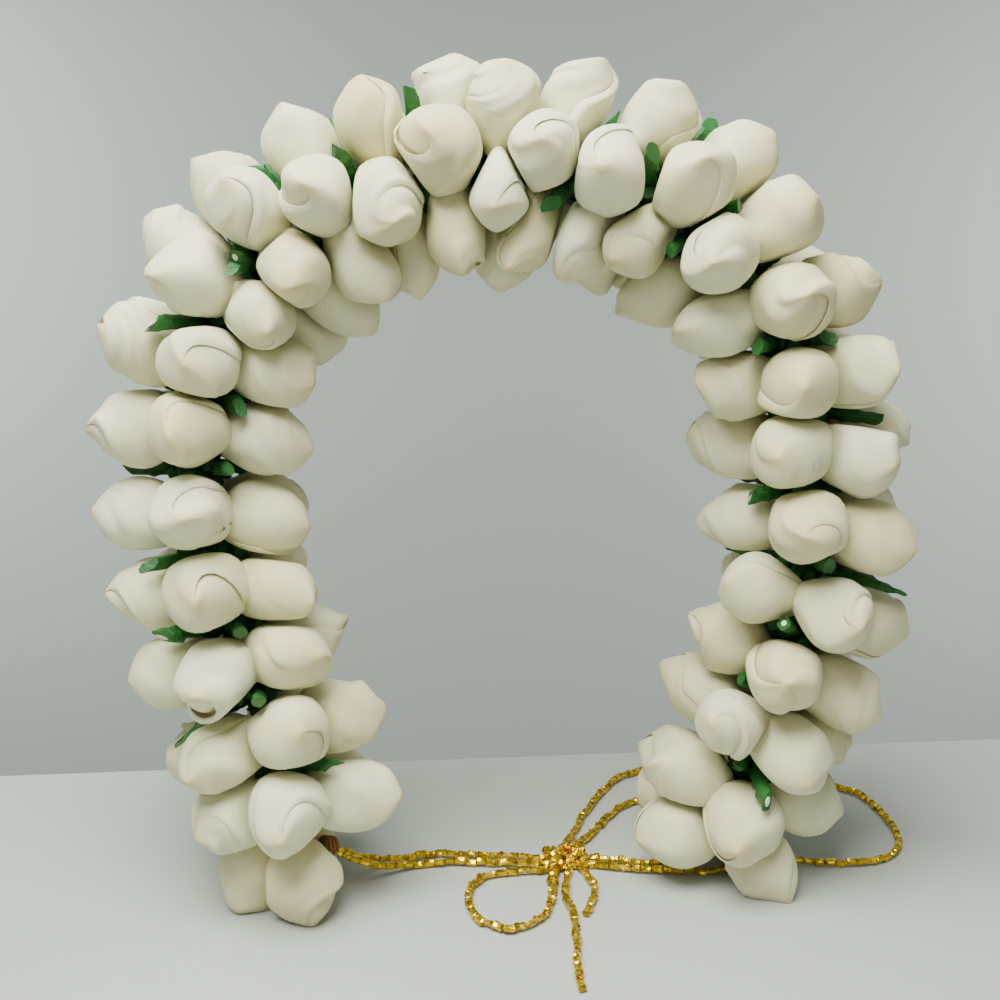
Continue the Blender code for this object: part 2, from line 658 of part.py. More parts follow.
def add_knot(paint):
    """The bow's knot: a few turns of cord drawn tight side by side."""
    sides = KNOT_SIDES
    centre = np.array(KNOT_CENTRE) * MM
    shoulder = 0.3 / KNOT_TURNS
    profile = [(-0.5, KNOT_ENDS)]
    for turn in range(KNOT_TURNS):
        middle = (turn + 0.5) / KNOT_TURNS - 0.5
        profile += [(middle - shoulder, 1.0), (middle + shoulder, 1.0)]
        if turn < KNOT_TURNS - 1:
            profile.append((middle + 0.5 / KNOT_TURNS, KNOT_VALLEY))
    profile.append((0.5, KNOT_ENDS))
    points, faces = [], []
    for along, width in profile:
        for k in range(sides):
            angle = k * 2 * math.pi / sides
            arm = width * KNOT_RADIUS
            points.append(centre + (along * KNOT_LENGTH, arm * math.cos(angle), arm * math.sin(angle)))
    for ring in range(len(profile) - 1):
        for k in range(sides):
            a, b = ring * sides + k, ring * sides + (k + 1) % sides
            faces.append((a, b, b + sides, a + sides))
    last = (len(profile) - 1) * sides
    faces += [tuple(range(sides))[::-1], tuple(last + k for k in range(sides))]
    made = mesh_object("bow_knot", points, faces, paint)
    face_outwards(made)


def build():
    clear_scene()
    petal = material("petal_white", WHITE, 0.62)
    leaf = material("stem_green", GREEN, 0.5)
    bound = material("bound_wire", TAPE, 0.6)
    thread = material("binding_thread", THREAD, 0.7)
    tinsel = material("cord_gold", GOLD, 0.3, 0.9)

    line = smooth_line(ROPE_ROUTE)
    arcs = arc_lengths(line)
    places = np.array(WHORL_PLACES) * MM
    buds = lay_out_buds(line, arcs, places)
    gaps = plan_stems(line, arcs, places, buds)
    wire = wire_line(line, arcs, places)
    ends = len(LEFT_WIRE_END)

    stem_rods = [stem_rod(stem) for stems in gaps for stem in stems]
    collar_line = at_arc(line, arcs, np.linspace(places[0], places[-1], 97))
    core_rods = line_rods(collar_line, COLLAR_RADIUS, ROD_LENGTH)
    for end in (wire[:ends + 2], wire[-ends - 2:]):
        core_rods += line_rods(end, WIRE_RADIUS, ROD_LENGTH)
    for end in (LEFT_WIRE_END, RIGHT_WIRE_END):
        core_rods += line_rods(np.array(end[1:]) * MM, BINDING_RADIUS, ROD_LENGTH)
    for route in CORD_ROUTES.values():
        core_rods += line_rods(smooth_line(route), CORD_RADIUS, 5 * MM)
    press_buds(buds, stem_rods, core_rods)

    made = mesh_object("core_wire", *tube_mesh(wire, WIRE_RADIUS), bound)
    face_outwards(made)
    add_binding("wire_binding_left", LEFT_WIRE_END, thread)
    add_binding("wire_binding_right", RIGHT_WIRE_END, thread)
    for whorl in range(WHORLS + 2):
        meshes = [bud_mesh(bud) for bud in buds if bud["whorl"] == whorl]
        if whorl == 0:
            meshes.insert(0, end_core(wire[ends], wire[ends - 1]))
        if whorl == WHORLS + 1:
            meshes.insert(0, end_core(wire[-ends - 1], wire[-ends]))
        union(f"bud_whorl_{whorl:02d}", meshes, petal)
    for first in range(0, WHORLS - 1, GAPS_IN_BUNCH):
        collar = bunch_mesh(line, arcs, places[first:first + GAPS_IN_BUNCH + 1])
        stems = [stem_mesh(stem) for gap in gaps[first:first + GAPS_IN_BUNCH] for stem in gap]
        union(f"stem_bunch_{first // GAPS_IN_BUNCH + 1:02d}", [collar] + stems, leaf)
    for name, route in CORD_ROUTES.items():
        add_cord(name, route, tinsel)
    add_knot(tinsel)


build()
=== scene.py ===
# Jasmine garland: rolled white buds bound round a bent wire, tied off with a gold tinsel bow.
import json
import math
import random

import bmesh
import bpy
import numpy as np
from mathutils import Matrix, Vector

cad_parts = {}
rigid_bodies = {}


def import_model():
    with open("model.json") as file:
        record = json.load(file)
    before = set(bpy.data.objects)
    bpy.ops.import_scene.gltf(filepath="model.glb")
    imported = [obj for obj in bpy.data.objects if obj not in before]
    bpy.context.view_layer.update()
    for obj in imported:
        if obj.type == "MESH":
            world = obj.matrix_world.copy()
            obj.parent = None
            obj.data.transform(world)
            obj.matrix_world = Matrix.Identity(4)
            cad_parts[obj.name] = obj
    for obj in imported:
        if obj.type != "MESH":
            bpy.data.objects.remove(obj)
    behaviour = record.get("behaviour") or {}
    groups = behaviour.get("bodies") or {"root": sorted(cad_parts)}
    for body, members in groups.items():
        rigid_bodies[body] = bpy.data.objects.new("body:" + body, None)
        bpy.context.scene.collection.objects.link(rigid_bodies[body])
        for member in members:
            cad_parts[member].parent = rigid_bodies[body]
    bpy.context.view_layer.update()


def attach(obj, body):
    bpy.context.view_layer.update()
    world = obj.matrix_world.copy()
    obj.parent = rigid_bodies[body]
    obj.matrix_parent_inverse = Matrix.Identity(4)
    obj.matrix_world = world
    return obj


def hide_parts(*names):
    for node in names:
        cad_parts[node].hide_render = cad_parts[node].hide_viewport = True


for item in list(bpy.data.objects):
    bpy.data.objects.remove(item, do_unlink=True)
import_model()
mm = 0.001
fullTurn = 2 * math.pi
scene = bpy.context.scene


# Camera, where the photograph was taken from

view = {"place": (-0.0010, -0.1633, 0.088), "lookDown": 11.0, "lens": 43.96, "sensor": 36.0, "nearest": 0.01}


def addObject(name, data):
    made = bpy.data.objects.new(name, data)
    scene.collection.objects.link(made)
    return made


def makeCamera():
    lens = bpy.data.cameras.new("camera")
    lens.lens, lens.sensor_width, lens.clip_start = view["lens"], view["sensor"], view["nearest"]
    scene.camera = addObject("camera", lens)
    scene.camera.location = view["place"]
    scene.camera.rotation_euler = (math.radians(90 - view["lookDown"]), 0, 0)


makeCamera()
print("camera set")


# Node helpers

def join(tree, *pairs):
    for source, target in pairs:
        tree.links.new(source, target)


def feed(tree, socket, value):
    # Links a socket to another node's output, or sets the socket's own value
    if hasattr(value, "is_output"):
        join(tree, (value, socket))
    elif value is not None:
        socket.default_value = value


def addNode(tree, kind, inputs=(), **settings):
    node = tree.nodes.new(kind)
    for name, value in settings.items():
        setattr(node, name, value)
    for socket, value in dict(inputs).items():
        feed(tree, node.inputs[socket], value)
    return node


def reckon(tree, operation, first, second=None):
    return addNode(tree, "ShaderNodeMath", {0: first, 1: second}, operation=operation).outputs[0]


def times(tree, value, factor):
    return reckon(tree, "MULTIPLY", value, factor)


def addUp(tree, *values):
    total = values[0]
    for value in values[1:]:
        total = reckon(tree, "ADD", total, value)
    return total


def newMaterial(name, values):
    made = bpy.data.materials.new(name)
    made.use_nodes = True
    shader = made.node_tree.nodes["Principled BSDF"]
    for label, value in values.items():
        shader.inputs[label].default_value = value
    return made, made.node_tree, shader


def ramp(tree, factor, low, high, lowColour=(0, 0, 0), highColour=(1, 1, 1)):
    node = addNode(tree, "ShaderNodeValToRGB", {"Fac": factor})
    ends = node.color_ramp.elements
    ends[0].position, ends[1].position = low, high
    ends[0].color, ends[1].color = (*lowColour, 1.0), (*highColour, 1.0)
    return node.outputs["Color"]


def mixColours(tree, factor, *colours):
    node = addNode(tree, "ShaderNodeMix", {0: factor}, data_type="RGBA")
    for place, colour in zip((6, 7), colours):
        feed(tree, node.inputs[place], (*colour, 1.0) if isinstance(colour, tuple) else colour)
    return node.outputs[2]


def noise(tree, coordinates, scale, detail, roughness):
    return addNode(tree, "ShaderNodeTexNoise", {
        "Vector": coordinates, "Scale": scale, "Detail": detail, "Roughness": roughness}).outputs["Fac"]


def attribute(tree, name):
    return addNode(tree, "ShaderNodeAttribute", attribute_name=name).outputs["Fac"]


def objectPlace(tree):
    return addNode(tree, "ShaderNodeTexCoord").outputs["Object"]


def bump(tree, shader, height, strength, distance):
    node = addNode(tree, "ShaderNodeBump", {"Height": height, "Strength": strength, "Distance": distance})
    join(tree, (node.outputs["Normal"], shader.inputs["Normal"]))


# Materials. A pattern is given as its scale, detail and roughness, relief as its strength and depth

petalLook = {
    "white": (0.72, 0.725, 0.50), "cream": (0.63, 0.60, 0.34), "creamRange": (0.4, 1.0),
    "blotch": (150, 3, 0.55), "blotchShare": 0.8, "mottle": (700, 3, 0.6), "mottleShare": 0.35,
    # painted shade: the darker yellow mixed in at deep places, in creases, under the lip, at the tip and
    # round the root
    "foldShade": (0.66, 0.55, 0.28), "fleck": (0.16, 0.07, 0.02), "fleckRange": (0.78, 0.86),
    "fleckGrain": (900, 1, 0.5), "grainShare": 0.5, "fleckShare": 0.7,
    "fibreScale": 2600, "fibreDetail": 2.0, "fibreStretch": (1.0, 0.12, 1.0), "fibreShare": 0.2,
    "lumps": (380, 3, 0.5), "relief": (0.4, 0.0004), "smoothest": 0.48, "roughest": 0.7,
    "constant": {"Subsurface Weight": 0.1, "Subsurface Radius": (1.0, 0.75, 0.5), "Subsurface Scale": 0.0025,
                 "Specular IOR Level": 0.35, "Sheen Weight": 0.08},
}
tapeLook = {
    "tones": (0.2, 0.75, (0.003, 0.032, 0.007), (0.007, 0.1, 0.014)), "patch": (700, 4, 0.6),
    "patchShare": 0.7, "markedBy": "edge", "markShare": 0.55, "wrinkles": (1800, 3, 0.6),
    "relief": (0.8, 0.0003), "constant": {"Roughness": 0.5},
}
goldLook = {
    "tones": (0.05, 0.42, (0.42, 0.24, 0.008), (0.82, 0.58, 0.025)), "patch": (900, 2, 0.5),
    # the foil is painted darker at its necks, as shade in the pinch
    "patchShare": 0.8, "markedBy": "neck", "markShare": -0.6, "wrinkles": (2600, 2, 0.5),
    "relief": (0.35, 0.0002), "constant": {"Metallic": 1.0, "Roughness": 0.24},
}
threadGrain = (4000, 3, 0.6)
grainRelief = (0.6, 0.0001)
grainLook = {  # pattern, roughness, then the tones: where dark and light begin, and their colours
    "tinselCore": (threadGrain, 0.75, (0.3, 0.7, (0.3, 0.15, 0.008), (0.6, 0.36, 0.02))),
    "brownThread": (threadGrain, 0.75, (0.3, 0.7, (0.12, 0.05, 0.02), (0.42, 0.2, 0.07))),
    "greenThread": (threadGrain, 0.75, (0.3, 0.7, (0.003, 0.03, 0.012), (0.01, 0.1, 0.04))),
    "wireTape": (threadGrain, 0.75, (0.3, 0.7, (0.02, 0.08, 0.03), (0.08, 0.2, 0.08))),
    "pith": ((3000, 3, 0.6), 0.8, (0.3, 0.6, (0.55, 0.46, 0.28), (0.86, 0.82, 0.66))),
}


def petalMaterial(look):
    made, tree, shader = newMaterial("petalSheet", look["constant"])
    place = objectPlace(tree)
    blotch = noise(tree, place, *look["blotch"])
    mottle = noise(tree, place, *look["mottle"])
    warmth = addUp(tree, times(tree, blotch, look["blotchShare"]), times(tree, mottle, look["mottleShare"]),
                   attribute(tree, "age"))
    base = mixColours(tree, ramp(tree, warmth, *look["creamRange"]), look["white"], look["cream"])
    # Painted shade: the base is mixed towards a darker yellow in creases, under the lip, at the tip and round
    # the root
    foldShaded = mixColours(tree, attribute(tree, "foldShade"), base, look["foldShade"])
    speck = addUp(tree, times(tree, noise(tree, place, *look["fleckGrain"]), look["grainShare"]),
                  times(tree, attribute(tree, "fleck"), look["fleckShare"]))
    flecked = mixColours(tree, ramp(tree, speck, *look["fleckRange"]), foldShaded, look["fleck"])
    rough = addNode(tree, "ShaderNodeMapRange", {
        "Value": blotch, "To Min": look["smoothest"], "To Max": look["roughest"]})
    join(tree, (flecked, shader.inputs["Base Color"]), (rough.outputs["Result"], shader.inputs["Roughness"]))
    # Fibres run along the sheet, over soft lumps
    flat = addNode(tree, "ShaderNodeUVMap", uv_map="sheet").outputs["UV"]
    along = addNode(tree, "ShaderNodeMapping", {"Vector": flat, "Scale": look["fibreStretch"]})
    fibre = addNode(tree, "ShaderNodeTexNoise", {
        "Vector": along.outputs["Vector"], "Scale": look["fibreScale"], "Detail": look["fibreDetail"]})
    relief = addUp(tree, times(tree, fibre.outputs["Fac"], look["fibreShare"]),
                   noise(tree, place, *look["lumps"]))
    bump(tree, shader, relief, *look["relief"])
    return made


def wrinkledMaterial(name, look):
    # Tape or foil in patches, with another tone where an attribute marks the piece: lighter towards a stem's
    # cut end, and painted shade at the foil's pinched necks
    made, tree, shader = newMaterial(name, look["constant"])
    place = objectPlace(tree)
    tone = addUp(tree, times(tree, noise(tree, place, *look["patch"]), look["patchShare"]),
                 times(tree, attribute(tree, look["markedBy"]), look["markShare"]))
    join(tree, (ramp(tree, tone, *look["tones"]), shader.inputs["Base Color"]))
    bump(tree, shader, noise(tree, place, *look["wrinkles"]), *look["relief"])
    return made


def grainMaterial(name, pattern, roughness, tones):
    made, tree, shader = newMaterial(name, {"Roughness": roughness})
    grain = noise(tree, objectPlace(tree), *pattern)
    join(tree, (ramp(tree, grain, *tones), shader.inputs["Base Color"]))
    bump(tree, shader, grain, *grainRelief)
    return made


petalSheet = petalMaterial(petalLook)
greenTape = wrinkledMaterial("greenTape", tapeLook)
goldFoil = wrinkledMaterial("goldFoil", goldLook)
goldCore, brownThread, greenThread, wireTape, pith = (
    grainMaterial(name, *values) for name, values in grainLook.items())
print("materials made")


# Curves and directions

def unit(vector):
    return vector / np.linalg.norm(vector, axis=-1, keepdims=True)


def swing(turn, first, second):
    return math.cos(turn) * first + math.sin(turn) * second


def smoothLine(route, perSpan=24):
    # Catmull-Rom curve through the route's points
    points = np.array(route, float)
    ends = np.vstack([2 * points[0] - points[1], points, 2 * points[-1] - points[-2]])
    line = []
    for a, b, c, d in zip(ends, ends[1:], ends[2:], ends[3:]):
        for t in np.linspace(0, 1, perSpan, endpoint=False):
            line.append(0.5 * (2 * b + (c - a) * t + (2 * a - 5 * b + 4 * c - d) * t * t
                               + (3 * b - a - 3 * c + d) * t ** 3))
    return np.array(line + [points[-1]])


def arcLengths(line):
    return np.concatenate([[0.0], np.cumsum(np.linalg.norm(np.diff(line, axis=0), axis=1))])


def atArc(line, arcs, where):
    return np.stack([np.interp(where, arcs, line[:, axis]) for axis in range(line.shape[1])], axis=-1)


def evenLine(line, step):
    arcs = arcLengths(line)
    return atArc(line, arcs, np.linspace(0, arcs[-1], max(4, round(arcs[-1] / step) + 1)))


def meshObject(name, points, faces, *paints):
    mesh = bpy.data.meshes.new(name)
    mesh.from_pydata([tuple(p) for p in points], [], [tuple(int(i) for i in face) for face in faces])
    for paint in paints:
        mesh.materials.append(paint)
    return addObject(name, mesh)


def faceOutwards(made):
    work = bmesh.new()
    work.from_mesh(made.data)
    bmesh.ops.recalc_face_normals(work, faces=work.faces)
    work.to_mesh(made.data)
    work.free()


def curveObject(name, line):
    curve = bpy.data.curves.new(name, "CURVE")
    curve.dimensions = "3D"
    spline = curve.splines.new("POLY")
    spline.points.add(len(line) - 1)
    spline.points.foreach_set("co", np.column_stack([line, np.ones(len(line))]).ravel())
    return addObject(name, curve)


# What the Geometry Nodes trees share

def newTree(name, sockets):
    tree = bpy.data.node_groups.new(name, "GeometryNodeTree")
    tree.interface.new_socket("Geometry", in_out="INPUT", socket_type="NodeSocketGeometry")
    for kind, labels in sockets.items():
        for label in labels:
            tree.interface.new_socket(label, in_out="INPUT", socket_type="NodeSocket" + kind)
    tree.interface.new_socket("Geometry", in_out="OUTPUT", socket_type="NodeSocketGeometry")
    return tree, addNode(tree, "NodeGroupInput").outputs, addNode(tree, "NodeGroupOutput").inputs["Geometry"]


def runTree(made, tree, values):
    # The modifier's result becomes a plain mesh with the object's own name
    modifier = made.modifiers.new("build", "NODES")
    modifier.node_group = tree
    sockets = {item.name: item.identifier for item in tree.interface.items_tree if item.in_out == "INPUT"}
    for label, value in values.items():
        modifier[sockets[label]] = value
    bpy.context.view_layer.update()
    graph = bpy.context.evaluated_depsgraph_get()
    mesh = bpy.data.meshes.new_from_object(
        made.evaluated_get(graph), preserve_all_data_layers=True, depsgraph=graph)
    name = made.name
    made.modifiers.remove(modifier)
    bpy.data.objects.remove(made, do_unlink=True)
    mesh.name = name
    return addObject(name, mesh)


def fromNode(tree, kind, inputs=(), **settings):
    return addNode(tree, kind, inputs, **settings).outputs[0]


def given(tree, kind):
    return fromNode(tree, "GeometryNodeInput" + kind)


def throughNode(tree, kind, geometry, inputs=(), **settings):
    # A node that takes a geometry in and gives one out
    return addNode(tree, kind, {0: geometry, **dict(inputs)}, **settings).outputs[0]


def xyz(tree, x, y, z):
    return fromNode(tree, "ShaderNodeCombineXYZ", {0: x, 1: y, 2: z})


def vectorMath(tree, operation, vector, inputs):
    return addNode(tree, "ShaderNodeVectorMath", {0: vector, **inputs}, operation=operation).outputs["Vector"]


def randomBetween(tree, low, high, seed, kind="FLOAT"):
    node = addNode(tree, "FunctionNodeRandomValue", {"Seed": seed}, data_type=kind)
    ends = [socket for socket in node.inputs if socket.enabled and socket.name in ("Min", "Max")]
    for socket, value in zip(ends, (low, high)):
        feed(tree, socket, value)
    return next(socket for socket in node.outputs if socket.enabled)


def randomVector(tree, low, high, seed):
    return randomBetween(tree, xyz(tree, *low), xyz(tree, *high), seed, "FLOAT_VECTOR")


def evenPoints(tree, geometry, step):
    return throughNode(tree, "GeometryNodeResampleCurve", geometry, {"Length": step}, mode="LENGTH")


def moved(tree, geometry, inputs):
    return throughNode(tree, "GeometryNodeSetPosition", geometry, inputs)


def crumpled(tree, geometry, amount, scale):
    # Pushes the surface in and out along its normal by a noise pattern
    grain = fromNode(tree, "ShaderNodeTexNoise", {
        "Vector": given(tree, "Position"), "Scale": scale, "Detail": 1.0})
    push = times(tree, reckon(tree, "SUBTRACT", grain, 0.5), amount)
    offset = vectorMath(tree, "SCALE", given(tree, "Normal"), {"Scale": push})
    return moved(tree, geometry, {"Offset": offset})


def real(tree, geometry):
    return throughNode(tree, "GeometryNodeRealizeInstances", geometry)


def painted(tree, geometry, paint):
    return throughNode(tree, "GeometryNodeSetMaterial", geometry, {"Material": paint})


def marked(tree, geometry, name, value):
    return throughNode(tree, "GeometryNodeStoreNamedAttribute", geometry, {"Name": name, "Value": value},
                       data_type="FLOAT", domain="POINT")


def sweep(tree, geometry, radius, sides):
    profile = fromNode(tree, "GeometryNodeCurvePrimitiveCircle", {"Resolution": sides, "Radius": radius})
    return throughNode(tree, "GeometryNodeCurveToMesh", geometry, {
        "Profile Curve": profile, "Fill Caps": True})


def aimed(tree, direction, turn):
    # Turns Z to a direction, then turns about the piece's own axes
    align = fromNode(tree, "FunctionNodeAlignRotationToVector", {"Vector": direction}, axis="Z")
    own = fromNode(tree, "FunctionNodeEulerToRotation", {0: turn})
    return fromNode(tree, "FunctionNodeRotateRotation", {0: align, 1: own}, rotation_space="LOCAL")


def barTree(sides=12):
    tree, wanted, output = newTree("bar", {"Float": ["Radius"], "Material": ["Paint"]})
    tube = real(tree, sweep(tree, wanted["Geometry"], wanted["Radius"], sides))
    join(tree, (painted(tree, tube, wanted["Paint"]), output))
    return tree


def windingTree(sides=6):
    # Thread wound round a line: each point moves out along the line's normal, turned a little further
    tree, wanted, output = newTree("winding", {
        "Float": ["Step", "Turn", "Wind Radius", "Thread Radius"], "Material": ["Thread"]})
    arm = fromNode(tree, "ShaderNodeVectorRotate", {
        "Vector": given(tree, "Normal"), "Axis": given(tree, "Tangent"),
        "Angle": times(tree, given(tree, "Index"), wanted["Turn"])}, rotation_type="AXIS_ANGLE")
    reach = vectorMath(tree, "SCALE", arm, {"Scale": wanted["Wind Radius"]})
    wound = moved(tree, evenPoints(tree, wanted["Geometry"], wanted["Step"]), {"Offset": reach})
    tube = real(tree, sweep(tree, wound, wanted["Thread Radius"], sides))
    join(tree, (painted(tree, tube, wanted["Thread"]), output))
    return tree


barNodes, winding = barTree(), windingTree()


# Gold cord: short lengths of foil threaded on a core. The routes are those of the plain cords, in metres

goldCord = {
    "diameter": 0.0013, "room": 0.00075, "lie": 0.0008, "centreStep": 0.0008, "coreSides": 6, "foilSides": 7,
    "foilRings": 6, "waist": 0.9, "bulge": 0.4, "bulgePower": 2.0, "neck": 0.58, "neckPower": 8.0,
    "flatness": 0.86, "foilScale": (0.86, 1.12), "roll": 6.28,
    "inputs": {"Step": 0.00155, "Foil Radius": 0.00056, "Foil Length": 0.00165, "Core Radius": 0.00036,
               "Tilt": 0.2, "Jitter": 0.00013, "Crumple": 0.0004, "Crumple Scale": 1300.0},
}
cordRoutes = {  # where no height is given, the cord lies on the surface
    "leftBack": [
        (-0.0251, -0.0011, 0.00605), (-0.0223, 0.0004, 0.0039), (-0.0187, 0.0031, 0.0019),
        (-0.0151, 0.0054, 0.00095), (-0.0106, 0.0068), (-0.0055, 0.0066), (0.0005, 0.0061),
        (0.00575, 0.00555),
    ],
    "leftFront": [
        (-0.0241, -0.00275, 0.00605), (-0.0213, -0.0013, 0.0039), (-0.0179, 0.001, 0.0019),
        (-0.0143, 0.0031, 0.00095), (-0.0101, 0.0042), (-0.0054, 0.0043), (0.0005, 0.004), (0.00575, 0.00375),
    ],
    "rightNear": [
        (0.0298, 0.0038, 0.002), (0.0273, 0.0036, 0.0013), (0.0241, 0.0038, 0.00085), (0.019, 0.0043),
        (0.0151, 0.005), (0.01185, 0.0055),
    ],
    "rightRound": [
        (0.0295, 0.0058, 0.0019), (0.029, 0.0076, 0.0015), (0.0297, 0.01, 0.001), (0.0312, 0.0127),
        (0.0333, 0.0169), (0.0373, 0.0225), (0.0429, 0.0273), (0.0493, 0.0307), (0.0553, 0.0311),
        (0.0591, 0.0277), (0.0605, 0.0222), (0.0609, 0.0166), (0.0604, 0.0111), (0.0582, 0.0071),
        (0.0545, 0.0046), (0.0503, 0.0039), (0.0463, 0.0043), (0.0409, 0.0047), (0.0361, 0.0037),
        (0.0323, 0.002), (0.0289, 0.0014), (0.0253, 0.0016), (0.0215, 0.002), (0.0175, 0.0024),
        (0.0145, 0.0032), (0.01185, 0.00365),
    ],
    "loopLeft": [
        (0.00575, 0.0019), (0.0029, 0.0016), (-0.0005, 0.0012), (-0.0034, -0.0003), (-0.0052, -0.0035),
        (-0.0054, -0.0075), (-0.0038, -0.0117), (-0.0003, -0.0142), (0.0033, -0.0129), (0.0055, -0.0095),
        (0.0064, -0.0055), (0.0068, -0.0017), (0.0073, 0.00265),
    ],
    "loopRight": [
        (0.0082, 0.0066), (0.0091, 0.0101), (0.0109, 0.0151), (0.0129, 0.0213), (0.0162, 0.0293),
        (0.0203, 0.0353), (0.0251, 0.0381), (0.0293, 0.0363), (0.0293, 0.0315), (0.0253, 0.0281),
        (0.0205, 0.0247), (0.0167, 0.0201), (0.0133, 0.0137), (0.0111, 0.0097), (0.0102, 0.0066),
    ],
    "tailLong": [
        (0.0091, 0.00265), (0.0085, -0.0017), (0.0085, -0.0069), (0.0091, -0.0119), (0.009, -0.0179),
        (0.0088, -0.0227), (0.009, -0.0271),
    ],
    "tailShort": [
        (0.01085, 0.00265), (0.0116, 0.0003), (0.0125, -0.0025), (0.0121, -0.0059), (0.011, -0.0093),
    ],
}
knot = {
    "centre": (0.0088, 0.0046, 0.00165), "turns": 4.6, "length": 0.0052, "width": 0.00165, "height": 0.00115,
    "sway": 0.37, "swayPhase": 1.2, "swell": 0.1, "swellRate": 2.3, "yaw": 28, "perTurn": 16,
    "floor": 0.00062, "seed": 5, "overFirst": (0.0086, 0.0046, 0.0019),
    "overSecond": (0.0078, 0.0046, 0.0021), "overLast": (0.0097, 0.0046, 0.0023),
    "looseEnd": [(0.0070, 0.0030, 0.0022), (0.0066, 0.0012, 0.0014), (0.0063, -0.0010, 0.00065)],
}


def foilNodes(tree, wanted):
    # A length of foil, waisted in the middle and bulging before its necks
    foil = fromNode(tree, "GeometryNodeMeshCylinder", {
        "Vertices": goldCord["foilSides"], "Side Segments": goldCord["foilRings"],
        "Radius": wanted["Foil Radius"], "Depth": wanted["Foil Length"]})
    place = given(tree, "Position")
    height = addNode(tree, "ShaderNodeSeparateXYZ", {0: place}).outputs["Z"]
    share = reckon(tree, "DIVIDE", reckon(tree, "ABSOLUTE", height), times(tree, wanted["Foil Length"], 0.5))
    bulge = times(tree, reckon(tree, "POWER", share, goldCord["bulgePower"]), goldCord["bulge"])
    neck = reckon(tree, "POWER", share, goldCord["neckPower"])
    wide = addUp(tree, bulge, goldCord["waist"])
    width = reckon(tree, "SUBTRACT", wide, times(tree, neck, goldCord["neck"]))
    girth = xyz(tree, width, times(tree, width, goldCord["flatness"]), 1.0)
    shaped = moved(tree, foil, {"Position": vectorMath(tree, "MULTIPLY", place, {1: girth})})
    # the neck attribute also sets where the foil gets its painted shade
    return marked(tree, shaped, "neck", neck)


def tinselTree():
    tree, wanted, output = newTree("tinsel", {
        "Float": list(goldCord["inputs"]), "Int": ["Seed"], "Material": ["Foil", "Core"]})
    core = sweep(tree, wanted["Geometry"], wanted["Core Radius"], goldCord["coreSides"])
    # The foils are set along the line, each off centre and tilted its own way
    jitter, tilt, seed = wanted["Jitter"], wanted["Tilt"], wanted["Seed"]
    less, back = times(tree, jitter, -1.0), times(tree, tilt, -1.0)
    aside = randomVector(tree, (less, less, less), (jitter, jitter, jitter), seed)
    spots = moved(tree, evenPoints(tree, wanted["Geometry"], wanted["Step"]), {"Offset": aside})
    turn = randomVector(tree, (back, back, 0.0), (tilt, tilt, goldCord["roll"]), seed)
    foils = throughNode(tree, "GeometryNodeInstanceOnPoints", spots, {
        "Instance": foilNodes(tree, wanted), "Scale": randomBetween(tree, *goldCord["foilScale"], seed),
        "Rotation": aimed(tree, given(tree, "Tangent"), turn)})
    foils = crumpled(tree, real(tree, foils), wanted["Crumple"], wanted["Crumple Scale"])
    both = addNode(tree, "GeometryNodeJoinGeometry")
    join(tree, (painted(tree, core, wanted["Core"]), both.inputs["Geometry"]),
         (painted(tree, foils, wanted["Foil"]), both.inputs["Geometry"]), (both.outputs["Geometry"], output))
    return tree


tinsel = tinselTree()


def tinselPiece(name, line, seed):
    made = runTree(curveObject(name, evenLine(line, goldCord["centreStep"])), tinsel, {
        **goldCord["inputs"], "Seed": seed, "Foil": goldFoil, "Core": goldCore})
    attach(made, "root")
    return made


def knotPath():
    # Turns that run to and fro along the knot and cross one another, then a short cut end
    turn = np.linspace(0, knot["turns"] * fullTurn, round(knot["turns"] * knot["perTurn"]))
    along = 0.5 * knot["length"] * np.sin(knot["sway"] * turn + knot["swayPhase"])
    swell = 1 + knot["swell"] * np.sin(knot["swellRate"] * turn)
    across, up = knot["width"] * np.cos(turn) * swell, knot["height"] * np.sin(turn) * swell
    yaw = math.radians(knot["yaw"])
    coil = np.column_stack([swing(yaw, along, -across), swing(yaw, across, along), up]) + knot["centre"]
    coil[:, 2] = np.maximum(coil[:, 2], knot["floor"])
    return np.vstack([coil, smoothLine(np.vstack([coil[-1], knot["looseEnd"]]), 10)[1:]])


def makeCords():
    tied = tinselPiece("bowKnot", knotPath(), knot["seed"])
    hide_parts("bow_knot")
    route = {name: [(*point, goldCord["lie"])[:3] for point in points] for name, points in cordRoutes.items()}
    cords = [
        ("cordAcross", route["leftFront"] + route["rightNear"][::-1], "object", [],
         ("cord_left_front", "cord_right_near")),
        ("cordShort", route["leftBack"] + [knot["overFirst"]] + route["tailShort"], "bare", [],
         ("cord_left_back", "bow_tail_short")),
        ("cordRound", route["rightRound"] + route["loopLeft"] + [knot["overSecond"]] + route["loopRight"]
         + [knot["overLast"]] + route["tailLong"], "bare", [tied],
         ("cord_right_round", "bow_loop_left", "bow_loop_right", "bow_tail_long")),
    ]
    for seed, (name, points, end, along, nodes) in enumerate(cords, 11):
        path = evenLine(smoothLine(points), goldCord["centreStep"])
        made = tinselPiece(name, path, seed)
        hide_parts(*nodes)
    return route


cordLines = makeCords()
print("cords laid")


# The buds' and stems' own places along the wire, worked out as the plain model does

